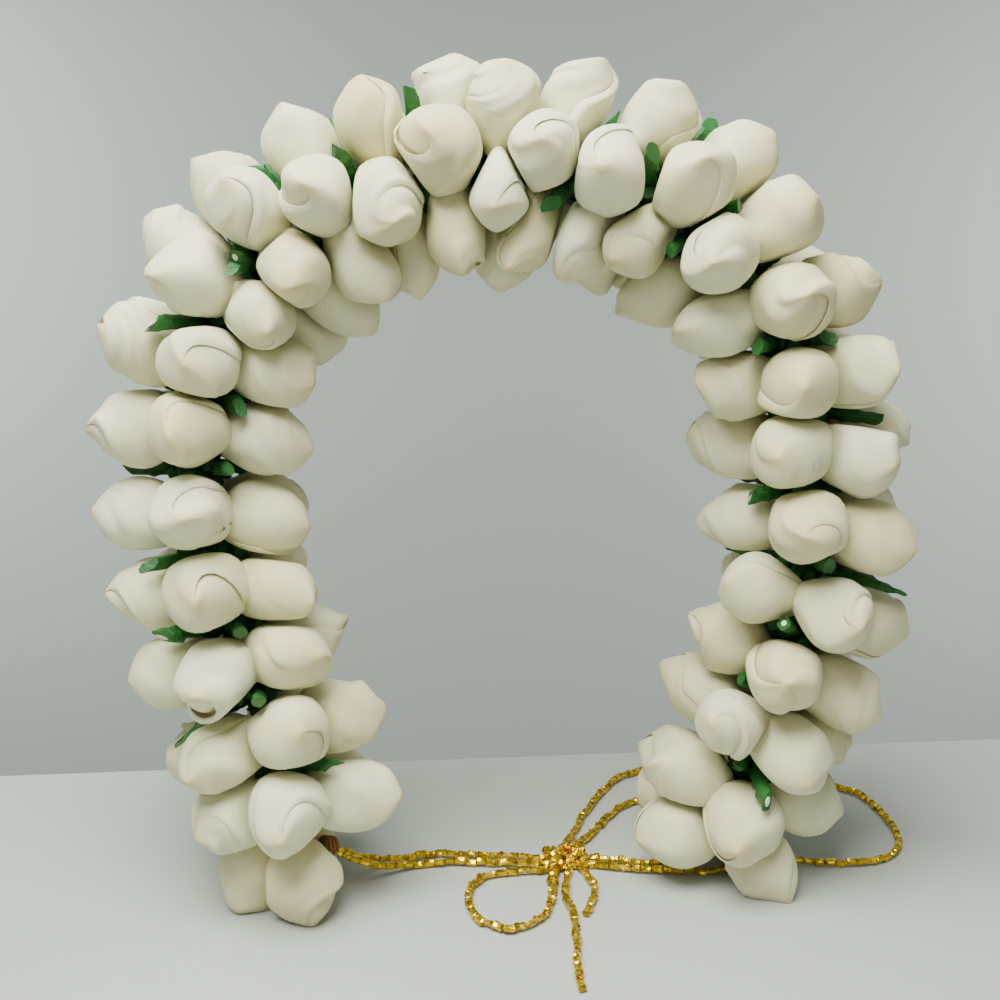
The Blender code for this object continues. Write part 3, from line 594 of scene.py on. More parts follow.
rope = {
    "route": [
        (-0.0297, -0.0039, 0.012), (-0.0313, -0.0031, 0.0195), (-0.0345, -0.0015, 0.029),
        (-0.0389, 0.0003, 0.043), (-0.0411, 0.0013, 0.057), (-0.0403, 0.0017, 0.071),
        (-0.0351, 0.0017, 0.0846), (-0.0231, 0.0017, 0.0948), (-0.0077, 0.0017, 0.0996),
        (0.0069, 0.0017, 0.0994), (0.0204, 0.0017, 0.0952), (0.0325, 0.0019, 0.0856), (0.0395, 0.0023, 0.072),
        (0.0415, 0.0027, 0.0545), (0.0415, 0.0033, 0.039), (0.0363, 0.0041, 0.0224), (0.0325, 0.0044, 0.0089),
    ],
    "leftEnd": [(-0.029, -0.0042, 0.0094), (-0.0273, -0.0039, 0.0074), (-0.0249, -0.0021, 0.0062)],
    "rightEnd": [(0.0323, 0.0045, 0.0062), (0.0322, 0.0047, 0.0039), (0.0307, 0.0048, 0.0025)],
    "places": [
        0.0042, 0.0132, 0.0239, 0.0341, 0.0445, 0.0559, 0.0659, 0.0754, 0.0834, 0.0921, 0.0997, 0.1085,
        0.1146, 0.1208, 0.1298, 0.1382, 0.1459, 0.1561, 0.1662, 0.1762, 0.1867, 0.1986, 0.2078, 0.2177,
        0.2276,
    ],
    "shown": [  # turn and lean of the outer, front and inner bud, in degrees
        (-51, -4, 8, -4, 81, -15), (-32, -6, 29, -4, 89, -12), (-75, 7, -13, -6, 48, -9),
        (-77, 6, -1, 3, 60, -12), (-77, 4, 0, 5, 73, -12), (-74, -3, -1, 6, 70, -2), (-62, -1, 0, -2, 62, 4),
        (-98, 0, -31, -7, 30, -1), (-95, -3, -34, 2, 25, 2), (-82, 0, -9, -1, 56, 3), (-59, 3, 18, -4, 85, 0),
        (-84, 7, -14, -6, 53, -5), (-120, 0, -51, 2, 23, 0), (-75, 14, -9, -7, 57, -10),
        (-68, 16, -4, -10, 58, -13), (-79, 21, -18, -6, 41, -18), (-47, 17, 11, -7, 102, -13),
        (-69, 18, -9, -1, 57, -15), (-47, 6, 12, -2, 71, -10), (-37, 7, 26, -6, 112, -4),
        (-47, 10, 13, -8, 112, 0), (-72, 8, -11, -7, 55, -16), (-59, 6, 14, -5, 98, -3),
        (-100, 0, -21, 3, 40, -7), (-76, -4, 1, 13, 66, -6),
    ],
    "leftBuds": [(2, None), (-84, None), (-166, None)],
    "rightBuds": [(60, 20), (134, 10), (-146, None), (-42, None)],
    "backBuds": 2, "backStagger": 12, "turnPlay": 6, "leanPlay": 8, "footLean": 9, "endSeat": 0.004,
    "endReach": 0.0159, "tipSunk": 0.0007, "wireRadius": 0.0008, "bindingRadius": 0.00175,
    "bindingLength": 0.0019, "halvings": 20, "collarPoints": 97, "seed": 41,
}
budShape = {  # proud: how far the outer, front, inner and back buds push a shared seam back
    "radius": 0.0056, "radiusPlay": (0.95, 1.03), "length": 0.0132, "lengthPlay": (0.93, 1.06),
    "seat": 0.0028, "tipBend": 0.0015, "bendPlay": (0.1, 1.0), "bendFrom": 0.55, "fusedBelow": 0.4,
    "freeAbove": 0.15, "proud": (0.0002, 0.0007, 0.0002, 0.0, 0.0), "minRoom": 0.0006, "rootRoom": 0.0024,
    "gap": 0.00016, "clearance": 0.00034, "rodLength": 0.004, "nearBuds": 3, "nearRods": 2.6,
    "searchSteps": (0.5, 0.25, 0.12, 0.06),
    "slimProfile": [(0.0, 0.6), (0.28, 0.95), (0.6, 0.95), (0.86, 0.46), (1.0, 0.05)],
    "plumpProfile": [(0.0, 0.6), (0.28, 0.97), (0.6, 0.97), (0.86, 0.64), (1.0, 0.06)],
}
stemShape = {
    "radius": 0.00105, "root": 0.00155, "stepAside": 9, "backSectors": ((108, 180), (180, 252)),
    "sectorStep": 3, "tightGap": 0.007, "reach": (0.0095, 0.0125), "nearBy": 0.018, "beyond": 0.6,
    "collarRadius": 0.0022, "probes": np.linspace(0.0034, 0.012, 8),
    "front": [  # gap, turn and lean in degrees, reach
        (0, 42, -12, 0.0115), (1, -69, -12, 0.012), (1, 12, 0, 0.0125), (2, -42, 6, 0.0115),
        (2, 12, -6, 0.0105), (3, -42, 0, 0.011), (4, -102, 0, 0.011), (4, 21, 6, 0.011), (5, 27, 0, 0.01),
        (6, -36, -12, 0.0125), (7, -15, 0, 0.0105), (7, 0, -6, 0.0105), (8, -66, -6, 0.01),
        (9, -45, 0, 0.011), (10, -72, 6, 0.011), (13, -48, 12, 0.0105), (13, 24, -18, 0.012),
        (14, -108, 18, 0.013), (14, -24, -12, 0.011), (15, -42, 12, 0.0085), (15, 18, -12, 0.012),
        (17, -27, 6, 0.0085), (17, 30, -12, 0.0105), (18, -66, 12, 0.01), (19, 60, 6, 0.009),
        (20, -48, 12, 0.013), (20, 3, -12, 0.0105), (21, 33, -18, 0.0115), (22, 60, -12, 0.008),
        (23, -6, 6, 0.013), (23, 24, 0, 0.009),
    ],
}


def ropeFrame(where):
    # Place, direction along, front and inner directions of the rope at an arc length
    here = atArc(ropeLine, ropeArcs, where)
    ahead = atArc(ropeLine, ropeArcs, min(where + mm, ropeArcs[-1]))
    behind = atArc(ropeLine, ropeArcs, max(where - mm, 0))
    along = unit(ahead - behind)
    inner = unit(np.cross((0.0, 1.0, 0.0), along))
    front = unit(np.cross(inner, along))
    return here, along, -front if front[1] > 0 else front, inner


def leaning(degrees):
    return math.tan(math.radians(degrees))


def whorlTurns(number):
    # Turn and lean of the three buds that show, then of those spread over the back
    outer, outerLean, front, frontLean, last, lastLean = rope["shown"][number]
    step = (outer + 360 - last) / (rope["backBuds"] + 1)
    foot = {0: -rope["footLean"], len(places) - 1: rope["footLean"]}.get(number, 0)
    stagger = rope["backStagger"] if number % 2 else -rope["backStagger"]
    back = [(last + step * (index + 1) + stagger, foot) for index in range(rope["backBuds"])]
    return [(outer, outerLean), (front, frontLean), (last, lastLean)] + back


def newBud(draw, whorl, index, root, direction, along, length):
    side = unit(along - direction * np.dot(along, direction))
    return {
        "whorl": whorl, "index": index, "root": root, "direction": direction, "side": side,
        "across": np.cross(direction, side), "length": length,
        "radius": budShape["radius"] * draw.uniform(*budShape["radiusPlay"]),
        "lip": draw.uniform(0, fullTurn),
        "bend": budShape["tipBend"] * draw.uniform(*budShape["bendPlay"]),
        "bendTurn": draw.uniform(0, fullTurn), "walls": [], "rootRoom": budShape["radius"],
    }


def lowered(here, level, outward):
    # Tilts a bud from level towards the rope's end until its tip meets the surface
    low, high = 0.0, math.pi / 2
    for _ in range(rope["halvings"]):
        tilt = (low + high) / 2
        direction = swing(tilt, level, outward)
        if here[2] + direction[2] * rope["endReach"] > -rope["tipSunk"]:
            low = tilt
        else:
            high = tilt
    return unit(direction)


def layOutBuds():
    draw = random.Random(rope["seed"])
    buds = []
    for number, place in enumerate(places):
        here, along, front, inner = ropeFrame(place)
        for index, (degrees, tilt) in enumerate(whorlTurns(number)):
            play = 1.0 if index > 2 else 0.0
            turn = math.radians(degrees + play * draw.uniform(-rope["turnPlay"], rope["turnPlay"]))
            lean = leaning(tilt + play * draw.uniform(-rope["leanPlay"], rope["leanPlay"]))
            direction = unit(swing(turn, front, inner) + lean * along)
            length = budShape["length"] * draw.uniform(*budShape["lengthPlay"])
            root = here + direction * budShape["seat"]
            buds.append(newBud(draw, number + 1, index, root, direction, along, length))
    ends = ((0, 0.0, rope["leftBuds"], -1), (len(places) + 1, ropeArcs[-1], rope["rightBuds"], 1))
    for whorl, place, endBuds, outward in ends:
        here, along, front, inner = ropeFrame(place)
        for index, (degrees, tilt) in enumerate(endBuds):
            level = swing(math.radians(degrees), front, inner)
            if tilt is None:
                direction, seat = lowered(here, level, outward * along), rope["endSeat"]
            else:
                direction, seat = unit(level + leaning(tilt) * outward * along), budShape["seat"]
            root = here + direction * seat
            buds.append(newBud(draw, whorl, index, root, direction, along, rope["endReach"] - seat))
    return buds


def spine(bud, t):
    lean = bud["bend"] * max(0.0, (t - budShape["bendFrom"]) / (1 - budShape["bendFrom"])) ** 2
    sideways = swing(bud["bendTurn"], bud["side"], bud["across"])
    return bud["root"] + bud["direction"] * bud["length"] * t + sideways * lean


def budBalls(bud, levels):
    return np.array([spine(bud, t) for t, _ in levels]), np.array([r for _, r in levels]) * bud["radius"]


def partingPlane(first, second):
    # Direction from first to second with the widest gap, and the level of each side along it
    (a, aRadii), (b, bRadii) = first, second

    def levels(normal):
        return (a @ normal + aRadii).max(), (b @ normal - bRadii).min()

    normal = unit(b.mean(axis=0) - a.mean(axis=0))
    low, high = levels(normal)
    for size in budShape["searchSteps"]:
        u = unit(np.cross(normal, np.eye(3)[np.argmin(np.abs(normal))]))
        v = np.cross(normal, u)
        for angle in np.arange(8) * math.pi / 4:
            tried = unit(normal + size * swing(angle, u, v))
            newLow, newHigh = levels(tried)
            if newHigh - newLow > high - low:
                normal, low, high = tried, newLow, newHigh
    return normal, low, high


def keepRoot(bud, apart):
    bud["rootRoom"] = min(bud["rootRoom"], max(apart, budShape["rootRoom"]))


def pressPair(first, second, balls):
    # Parts two buds by a flat seam, and keeps the roots of neighbouring whorls apart
    same, gap = first["whorl"] == second["whorl"], budShape["gap"]
    skip = 2 if same else 0
    normal, low, high = partingPlane(*((points[skip:], radii[skip:]) for points, radii in balls))
    if high - low < 2 * gap:
        middle = (low + high) / 2 + budShape["proud"][first["index"]] - budShape["proud"][second["index"]]
        start = budShape["fusedBelow"] if same else budShape["freeAbove"]
        first["walls"].append((normal, middle - gap, start))
        second["walls"].append((-normal, -middle - gap, start))
    if not same:
        for bud in (first, second):
            keepRoot(bud, np.linalg.norm(first["root"] - second["root"]) / 2 - gap)


def pressBuds(stemRods, coreRods):
    # Gives every bud the planes it is pressed flat against: its neighbours, the stems and the wire
    balls = [budBalls(bud, budShape["plumpProfile"]) for bud in buds]
    clearance = budShape["clearance"]
    for i, bud in enumerate(buds):
        middle = balls[i][0][2]
        for j in range(i + 1, len(buds)):
            if np.linalg.norm(middle - balls[j][0][2]) <= budShape["nearBuds"] * budShape["radius"]:
                pressPair(bud, buds[j], (balls[i], balls[j]))
        for index, rod in enumerate(stemRods + coreRods):
            if np.linalg.norm(middle - rod[0].mean(axis=0)) > budShape["nearRods"] * budShape["radius"]:
                continue
            normal, low, high = partingPlane(balls[i], rod)
            if high - low < clearance:
                start = budShape["freeAbove"] if index < len(stemRods) else -1.0
                bud["walls"].append((normal, high - clearance, start))
        for rod in stemRods:
            apart = np.linalg.norm(rod[0] - bud["root"], axis=1).min()
            keepRoot(bud, apart - stemShape["radius"] - clearance)


def widestWay(axes, sector, lean, points, radii):
    # Direction out from the wire, with its turn in a sector, that keeps furthest from the buds
    here, along, front, inner = axes
    best = None
    for degrees in range(*sector, stemShape["sectorStep"]):
        way = unit(swing(math.radians(degrees), front, inner) + leaning(lean) * along)
        probes = here + np.outer(stemShape["probes"], way)
        room = (np.linalg.norm(probes[:, None] - points[None], axis=2) - radii).min()
        if best is None or room > best[0]:
            best = (room, way)
    return best[1]


def planStems():
    # Cut stem ends for each gap between whorls: those that show, and two at the back
    draw = random.Random(rope["seed"] + 1)
    balls = [budBalls(bud, budShape["slimProfile"]) for bud in buds]
    aside, gaps = stemShape["stepAside"], []
    for number, (low, high) in enumerate(zip(places, places[1:])):
        axes = ropeFrame((low + high) / 2)
        near = [b for b in balls if np.linalg.norm(b[0][2] - axes[0]) < stemShape["nearBy"]]
        points, radii = np.vstack([b[0] for b in near]), np.concatenate([b[1] for b in near])
        ends = [((turn - aside, turn + aside + 1), lean, reach)
                for gap, turn, lean, reach in stemShape["front"] if gap == number]
        if high - low > stemShape["tightGap"]:
            ends += [(sector, 0, draw.uniform(*stemShape["reach"])) for sector in stemShape["backSectors"]]
        gaps.append([])
        for sector, lean, reach in ends:
            draw.random()  # the plain model draws the slant of its cut here
            gaps[-1].append({"here": axes[0], "reach": reach,
                             "direction": widestWay(axes, sector, lean, points, radii)})
    return gaps


def stemRod(stem, count=7):
    radius = stemShape["radius"]
    reaches = np.linspace(stemShape["root"], stem["reach"] + stemShape["beyond"] * radius, count)
    return stem["here"] + np.outer(reaches, stem["direction"]), np.full(count, radius)


def lineRods(line, radius, length=budShape["rodLength"]):
    arcs = arcLengths(line)
    edges = np.linspace(0, arcs[-1], max(1, round(arcs[-1] / length)) + 1)
    return [(atArc(line, arcs, np.linspace(a, b, 4)), np.full(4, radius)) for a, b in zip(edges, edges[1:])]


def wirePath():
    stations = np.sort(np.concatenate([[0.0, ropeArcs[-1]], places, (places[:-1] + places[1:]) / 2]))
    return np.vstack([rope["leftEnd"][::-1], atArc(ropeLine, ropeArcs, stations), rope["rightEnd"]])


def coreRods():
    collar = atArc(ropeLine, ropeArcs, np.linspace(places[0], places[-1], rope["collarPoints"]))
    rods = lineRods(collar, stemShape["collarRadius"])
    for end in (wire[:5], wire[-5:]):
        rods += lineRods(end, rope["wireRadius"])
    for end in (rope["leftEnd"], rope["rightEnd"]):
        rods += lineRods(np.array(end[1:]), rope["bindingRadius"])
    for route in cordLines.values():
        rods += lineRods(smoothLine(route), goldCord["room"], 5 * mm)
    return rods


ropeLine = smoothLine(rope["route"])
ropeArcs = arcLengths(ropeLine)
places = np.array(rope["places"])
buds = layOutBuds()
gaps = planStems()
wire = wirePath()
pressBuds([stemRod(stem) for stems in gaps for stem in stems], coreRods())
print("flowers placed")


# Buds: a thin sheet rolled round itself, its free edge winding up to a pinched tip

sheet = {
    "profile": [  # share of the bud's length, and the width there of a round and of a pointed bud
        (0.0, 0.6, 0.6), (0.05, 0.72, 0.7), (0.11, 0.84, 0.82), (0.18, 0.92, 0.9), (0.26, 0.975, 0.96),
        (0.34, 1.0, 0.985), (0.42, 1.01, 0.985), (0.5, 1.01, 0.965), (0.57, 0.99, 0.925),
        (0.64, 0.955, 0.865), (0.7, 0.91, 0.79), (0.75, 0.86, 0.71), (0.8, 0.79, 0.62), (0.845, 0.7, 0.52),
        (0.885, 0.59, 0.42), (0.92, 0.46, 0.32), (0.95, 0.33, 0.23), (0.973, 0.22, 0.165),
        (0.988, 0.15, 0.125), (0.997, 0.1, 0.085), (1.0, 0.035, 0.03),
    ],
    # for the outer, front, inner and back buds: how pointed they get, and the share of their length used
    "pointedBy": (0.45, 0.6, 1.0, 1.0, 1.0), "shortened": (0.95, 1.0, 1.0, 1.0, 1.0),
    "pointed": (0.05, 0.95), "step": (0.1, 0.19), "lap": (0.35, 0.8), "twist": (0.2, 0.8),
    "swirl": (0.4, 2.3), "pinch": (0.05, 0.4), "creaseDepth": (0.02, 0.07), "tipFold": (0.06, 0.2),
    "flare": (0.03, 0.08), "age": (-0.25, 0.4), "flush": 0.35, "flushStep": 0.4, "flared": 0.3,
    "closedFlare": 0.15, "open": 0.16, "openFlare": 0.25,
    "creases": (1, 2), "creaseTurn": (0.9, 5.3), "creaseStart": (0.1, 0.55), "creaseRun": 0.3,
    "creaseEdge": (-0.06, 0.08), "creaseRise": 1.4, "creaseDrop": 0.6, "creaseFall": 0.8,
    # how much painted shade a crease gets, and how fast it fades to the side
    "creaseTone": 7, "toneFall": 0.25,
    "waves": 3, "waveCount": (2, 5), "waveDrift": (-3, 3), "dents": 0.018,
    "tipFolds": (2, 3), "tipFoldAt": (0.93, 0.1), "tipFoldTurn": 0.6,
    # depth and width of the hem, height, turn and width of the ridge beside it, and where the rest comes in
    "hem": (0.6, 0.11), "ridge": (0.22, 0.22, 0.16), "flareRun": (0.3, 0.7, 0.5), "openRun": (0.5, 0.85, 0.7),
    "stepRun": (0.0, 0.5), "swirlRun": (0.55, 1.0), "pinchRun": (0.6, 0.97), "rootEnd": 0.28,
    "nearLip": (0.0, 0.05, 0.12, 0.22), "exposed": 32, "under": 4, "underStep": 0.002, "underFrom": 0.25,
    "thickness": 0.0006, "mostThick": 0.72, "leastStep": 0.006,
    "onset": 0.22, "softness": 0.0013, "ease": 0.0001,
    "flecked": 0.04, "fleckPlay": (-0.002, 0.002), "fleckAt": 0.85, "fleckSpread": 0.0011, "fleckFront": 0.3,
    "tipClose": 0.0001, "closingTurn": 0.3, "uvScale": 100, "pinchSwell": 0.5,
    # turn and depth of the rounded lip, then the painted shade along the lap's two sides, on the lip and at
    # the seam
    "lipEdge": (-0.03, 0.45), "lapTone": (0.6, 1.0), "innerTone": (1.0, 0.5), "lipTone": (0.3, 0.1),
    "seamTone": 0.3,
    # painted shade and its run at the tip and round the root, and the painted shade of the points that close
    # them
    "tipTone": (0.6, 0.9, 1.0), "rootTone": (0.35, 0.0, 0.4), "closingTone": (0.3, 0.5),
    "spotted": {(7, 0): (-0.0006, 0.0012), (5, 1): (0.0038, -0.0022), (12, 0): (-0.0033, -0.0014)},
}


def smoothStep(low, high, value):
    t = np.clip((value - low) / (high - low), 0.0, 1.0)
    return t * t * (3 - 2 * t)


def hump(values, width):
    return np.exp(-(values / width) ** 2)


def wallPush(points, centre, bud, t):
    # How far each point gives way to the walls, softly where it first meets one
    push = np.zeros_like(points)
    for softness in (sheet["softness"], 1e-6):
        for normal, level, start in bud["walls"]:
            weight = 1.0 if start < 0 else float(smoothStep(start - sheet["onset"], start, t))
            level = max(level - sheet["ease"], centre @ normal + budShape["minRoom"])
            over = (points + push) @ normal - level
            drawn = np.where(over > softness, over, np.clip(over + softness, 0, None) ** 2 / (4 * softness))
            push -= np.outer(weight * drawn, normal)
    return push


def budLook(bud, draw):
    look = {key: draw.uniform(*sheet[key]) for key in (
        "pointed", "step", "lap", "twist", "swirl", "pinch", "creaseDepth", "tipFold", "flare")}
    kind = draw.random()
    look["pinchTurn"] = draw.uniform(0, math.pi)
    look["age"] = draw.uniform(*sheet["age"])
    look["pointed"] *= sheet["pointedBy"][bud["index"]]
    look["step"] *= sheet["flushStep"] if draw.random() < sheet["flush"] else 1.0
    look["open"] = sheet["openFlare"] if kind > 1 - sheet["open"] else 0.0
    look["flare"] *= 1.0 if kind < sheet["flared"] else sheet["closedFlare"]
    look["creases"] = [(draw.uniform(*sheet["creaseTurn"]), draw.uniform(*sheet["creaseStart"]))
                       for _ in range(draw.randint(*sheet["creases"]))]
    look["waves"] = [(draw.randint(*sheet["waveCount"]), draw.uniform(0, fullTurn),
                      draw.uniform(*sheet["waveDrift"])) for _ in range(sheet["waves"])]
    look["folds"] = (draw.randint(*sheet["tipFolds"]), draw.uniform(0, fullTurn))
    here = sheet["spotted"].get((bud["whorl"], bud["index"]))
    if here is None and bud["index"] > 2 and draw.random() < sheet["flecked"]:
        here = (draw.uniform(*sheet["fleckPlay"]), draw.uniform(*sheet["fleckPlay"]))
    look["fleckAt"] = here and spine(bud, sheet["fleckAt"]) + np.array([here[0], 0.0, here[1]])
    return look


def sheetArms(look, angles, t, step):
    # Distance of the sheet from the middle line, as a share of its radius, and the painted shade in its
    # creases
    (depth, width), (height, turn, breadth) = sheet["hem"], sheet["ridge"]
    arms = 1 - step * angles / fullTurn - depth * step * hump(angles, width)
    arms += height * step * hump(angles - turn, breadth)
    for kind in ("flare", "open"):
        begin, end, width = sheet[kind + "Run"]
        arms += look[kind] * smoothStep(begin, end, t) * hump(angles, width)
    foldShade = np.zeros(len(angles))
    for crease, start in look["creases"]:
        deep = look["creaseDepth"] * smoothStep(start, start + sheet["creaseRun"], t)
        off = angles - crease
        past = smoothStep(*sheet["creaseEdge"], off)
        rise = np.clip(1 + off / sheet["creaseRise"], 0, 1) ** 2 * (1 - past)
        arms += deep * (rise - sheet["creaseDrop"] * past * np.exp(-np.abs(off) / sheet["creaseFall"]))
        foldShade += sheet["creaseTone"] * deep * past * np.exp(-np.abs(off) / sheet["toneFall"])
    for waves, phase, drift in look["waves"]:
        arms += sheet["dents"] * np.sin(waves * angles + phase + drift * t) * math.sin(math.pi * t)
    count, phase = look["folds"]
    middle, width = sheet["tipFoldAt"]
    fade = math.exp(-0.5 * ((t - middle) / width) ** 2)
    full = sheet["tipFoldTurn"]
    arms += look["tipFold"] * fade * np.sin(count * angles + phase) * np.clip(angles, 0, full) / full
    return arms, foldShade


def sheetRing(look, angles, lap, t, thick, step):
    # Once round the outside, on under the lip, back along the inside and over the lip's edge
    under = np.arange(1, sheet["under"] + 1)
    arms, foldShade = sheetArms(look, angles, t, step)
    edgeTurn, edgeDepth = sheet["lipEdge"]
    allAngles = np.concatenate([angles, fullTurn + lap, lap[::-1], [0.0, edgeTurn]])
    allArms = np.concatenate([arms, arms[-1] - sheet["underStep"] * under,
                              np.interp(lap[::-1], angles, arms) - thick,
                              [arms[0] - thick, arms[0] - edgeDepth * thick]])
    # Painted shade: deep places are darker and yellower: under the lip, in the creases, at the tip and round
    # the root
    foldShade[-1] = sheet["seamTone"]
    sides = [np.linspace(*sheet[side], len(lap)) for side in ("lapTone", "innerTone")]
    shadeAmount = np.concatenate([foldShade, *sides, sheet["lipTone"]])
    (tip, *tipRun), (root, *rootRun) = sheet["tipTone"], sheet["rootTone"]
    shadeAmount += tip * smoothStep(*tipRun, t) + root * (1 - smoothStep(*rootRun, t))
    return allAngles, allArms, np.clip(shadeAmount, 0, 1)


def fleckWeights(bud, look, ring):
    if look["fleckAt"] is None:
        return np.zeros(len(ring))
    far = (ring - look["fleckAt"])[:, [0, 2]]
    weights = np.exp(-(far ** 2).sum(axis=1) / sheet["fleckSpread"] ** 2)
    return weights * (ring[:, 1] < spine(bud, sheet["fleckFront"])[1])


def budSheet(bud, draw):
    # Rings of points from root to tip, with each point's painted shade, age, fleck and flat place
    look = budLook(bud, draw)
    *near, first = sheet["nearLip"]
    angles = np.concatenate([near, np.linspace(first, fullTurn, sheet["exposed"])])
    u = swing(look["pinchTurn"], bud["side"], bud["across"])
    v = swing(look["pinchTurn"], bud["across"], -bud["side"])
    lap = np.linspace(sheet["underFrom"], 1.0, sheet["under"]) * look["lap"]
    rings, values = [], []
    for t, plump, pointed in sheet["profile"]:
        centre = spine(bud, t * sheet["shortened"][bud["index"]])
        room = bud["rootRoom"] + (bud["radius"] - bud["rootRoom"]) * min(1.0, t / sheet["rootEnd"])
        radius = min((plump + (pointed - plump) * look["pointed"]) * bud["radius"], room)
        step = look["step"] * float(smoothStep(*sheet["stepRun"], t)) + sheet["leastStep"]
        thick = min(sheet["thickness"] / radius, sheet["mostThick"] * step)
        allAngles, allArms, shadeAmount = sheetRing(look, angles, lap, t, thick, step)
        begin = bud["lip"] + look["twist"] * t + look["swirl"] * smoothStep(*sheet["swirlRun"], t)
        squash = 1 - look["pinch"] * smoothStep(*sheet["pinchRun"], t)
        swell = 1 + sheet["pinchSwell"] - sheet["pinchSwell"] * squash
        turned = begin + allAngles - look["pinchTurn"]
        reach = (radius * allArms)[:, None]
        ring = centre + np.cos(turned)[:, None] * reach * squash * u
        ring = ring + np.sin(turned)[:, None] * reach * swell * v
        push = wallPush(ring[:len(angles)], centre, bud, t)
        around = np.mod(allAngles, fullTurn)
        around[:len(angles)] = angles
        ring += np.column_stack([np.interp(around, angles, push[:, axis]) for axis in range(3)])
        ring[:, 2] = np.maximum(ring[:, 2], 0.0)
        rings.append(ring)
        flat = allAngles * bud["radius"] * sheet["uvScale"]
        high = np.full(len(ring), t * bud["length"] * sheet["uvScale"])
        age = np.full(len(ring), look["age"])
        values.append(np.column_stack([shadeAmount, age, fleckWeights(bud, look, ring), flat, high]))
    ends = [(tone, look["age"], 0.0, sheet["closingTurn"], high)
            for tone, high in zip(sheet["closingTone"], (bud["length"] * sheet["uvScale"], 0.0))]
    return np.array(rings), np.vstack(values + [ends])


def sheetMesh(name, whorlBuds, draw):
    points, faces, rows = [], [], []
    count = 0
    for bud in whorlBuds:
        rings, values = budSheet(bud, draw)
        levels, around = rings.shape[:2]
        closing = spine(bud, sheet["shortened"][bud["index"]]) + bud["direction"] * sheet["tipClose"]
        closing[2] = max(closing[2], 0.0)
        points += [rings.reshape(-1, 3), closing[None], spine(bud, 0.0)[None]]
        index = count + np.arange(levels * around).reshape(levels, around)
        following = np.roll(index, -1, axis=1)
        quads = np.stack([index[:-1], following[:-1], following[1:], index[1:]], axis=-1)
        faces += quads.reshape(-1, 4).tolist()
        tip, root = count + levels * around, count + levels * around + 1
        faces += [(i, j, tip) for i, j in zip(index[-1], following[-1])]
        faces += [(j, i, root) for i, j in zip(index[0], following[0])]
        rows.append(values)
        count += len(values)
    made = meshObject(name, np.vstack(points), faces, petalSheet)
    mesh, rows = made.data, np.vstack(rows).astype(np.float32)
    # the first attribute is the amount of painted shade
    for column, label in enumerate(("foldShade", "age", "fleck")):
        mesh.attributes.new(label, "FLOAT", "POINT").data.foreach_set("value", rows[:, column].copy())
    corners = np.empty(len(mesh.loops), np.int32)
    mesh.loops.foreach_get("vertex_index", corners)
    mesh.uv_layers.new(name="sheet").data.foreach_set("uv", rows[corners, 3:].ravel())
    mesh.polygons.foreach_set("use_smooth", np.ones(len(mesh.polygons), bool))
    faceOutwards(made)
    return made


def makeBuds():
    draw = random.Random(rope["seed"] + 2)
    for whorl in range(len(places) + 2):
        made = sheetMesh(f"budWhorl{whorl:02d}", [bud for bud in buds if bud["whorl"] == whorl], draw)
        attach(made, "root")
        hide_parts(f"bud_whorl_{whorl:02d}")


makeBuds()
print("buds rolled")


# Cut stems bound round the wire with green tape and thread, and the thread round the wire's ends

stemLook = {  # a bound bar is given as its radius, its thread's radius and the thread's pitch
    "bar": (0.0021, 0.0002, 0.0013), "bindingBar": (0.0013, 0.00028, 0.00062), "bindingPoints": 8,
    "wireRadius": 0.00078, "roll": 6.28, "pointsPerTurn": 14, "lineStep": 0.0008, "wide": (0.85, 1.15),
    "thin": (0.65, 1.0), "inputs": {"Radius": stemShape["radius"], "Flare": 1.0, "Slant": 0.12,
                                    "Crumple": 0.0013, "Crumple Scale": 1000.0},
    "cylinder": {"Vertices": 10, "Side Segments": 9, "Radius": 1.0, "Depth": 1.0}, "latePower": 5.0,
    "leaf": 0.4, "leafTip": 0.3, "leafBend": 0.7, "pithed": ((5, 1), (10, 0)), "pithBack": 0.15,
    "plug": {"Vertices": 8, "Radius": 0.45, "Depth": 0.06}, "plugLift": (0.0, 0.0, 0.49), "gapsInBunch": 2,
    "collar": 12, "collarReach": (0.0038, 0.006), "collarTurn": (-0.3, 0.3), "collarLean": (-0.25, 0.25),
}


def stemBar(tree, wanted, base, tip, bend):
    # A bar one unit long whose end widens or narrows to a tip, is cut at a slant and bends aside
    x, y, z = addNode(tree, "ShaderNodeSeparateXYZ", {0: given(tree, "Position")}).outputs
    share = reckon(tree, "ADD", z, 0.5)
    late = reckon(tree, "POWER", reckon(tree, "MAXIMUM", share, 0.001), stemLook["latePower"])
    width = reckon(tree, "ADD", times(tree, late, reckon(tree, "SUBTRACT", tip, 1.0)), 1.0)
    place = xyz(tree, addUp(tree, times(tree, x, width), times(tree, late, bend)), times(tree, y, width),
                addUp(tree, share, times(tree, times(tree, x, late), wanted["Slant"])))
    return marked(tree, moved(tree, base, {"Position": place}), "edge", late)


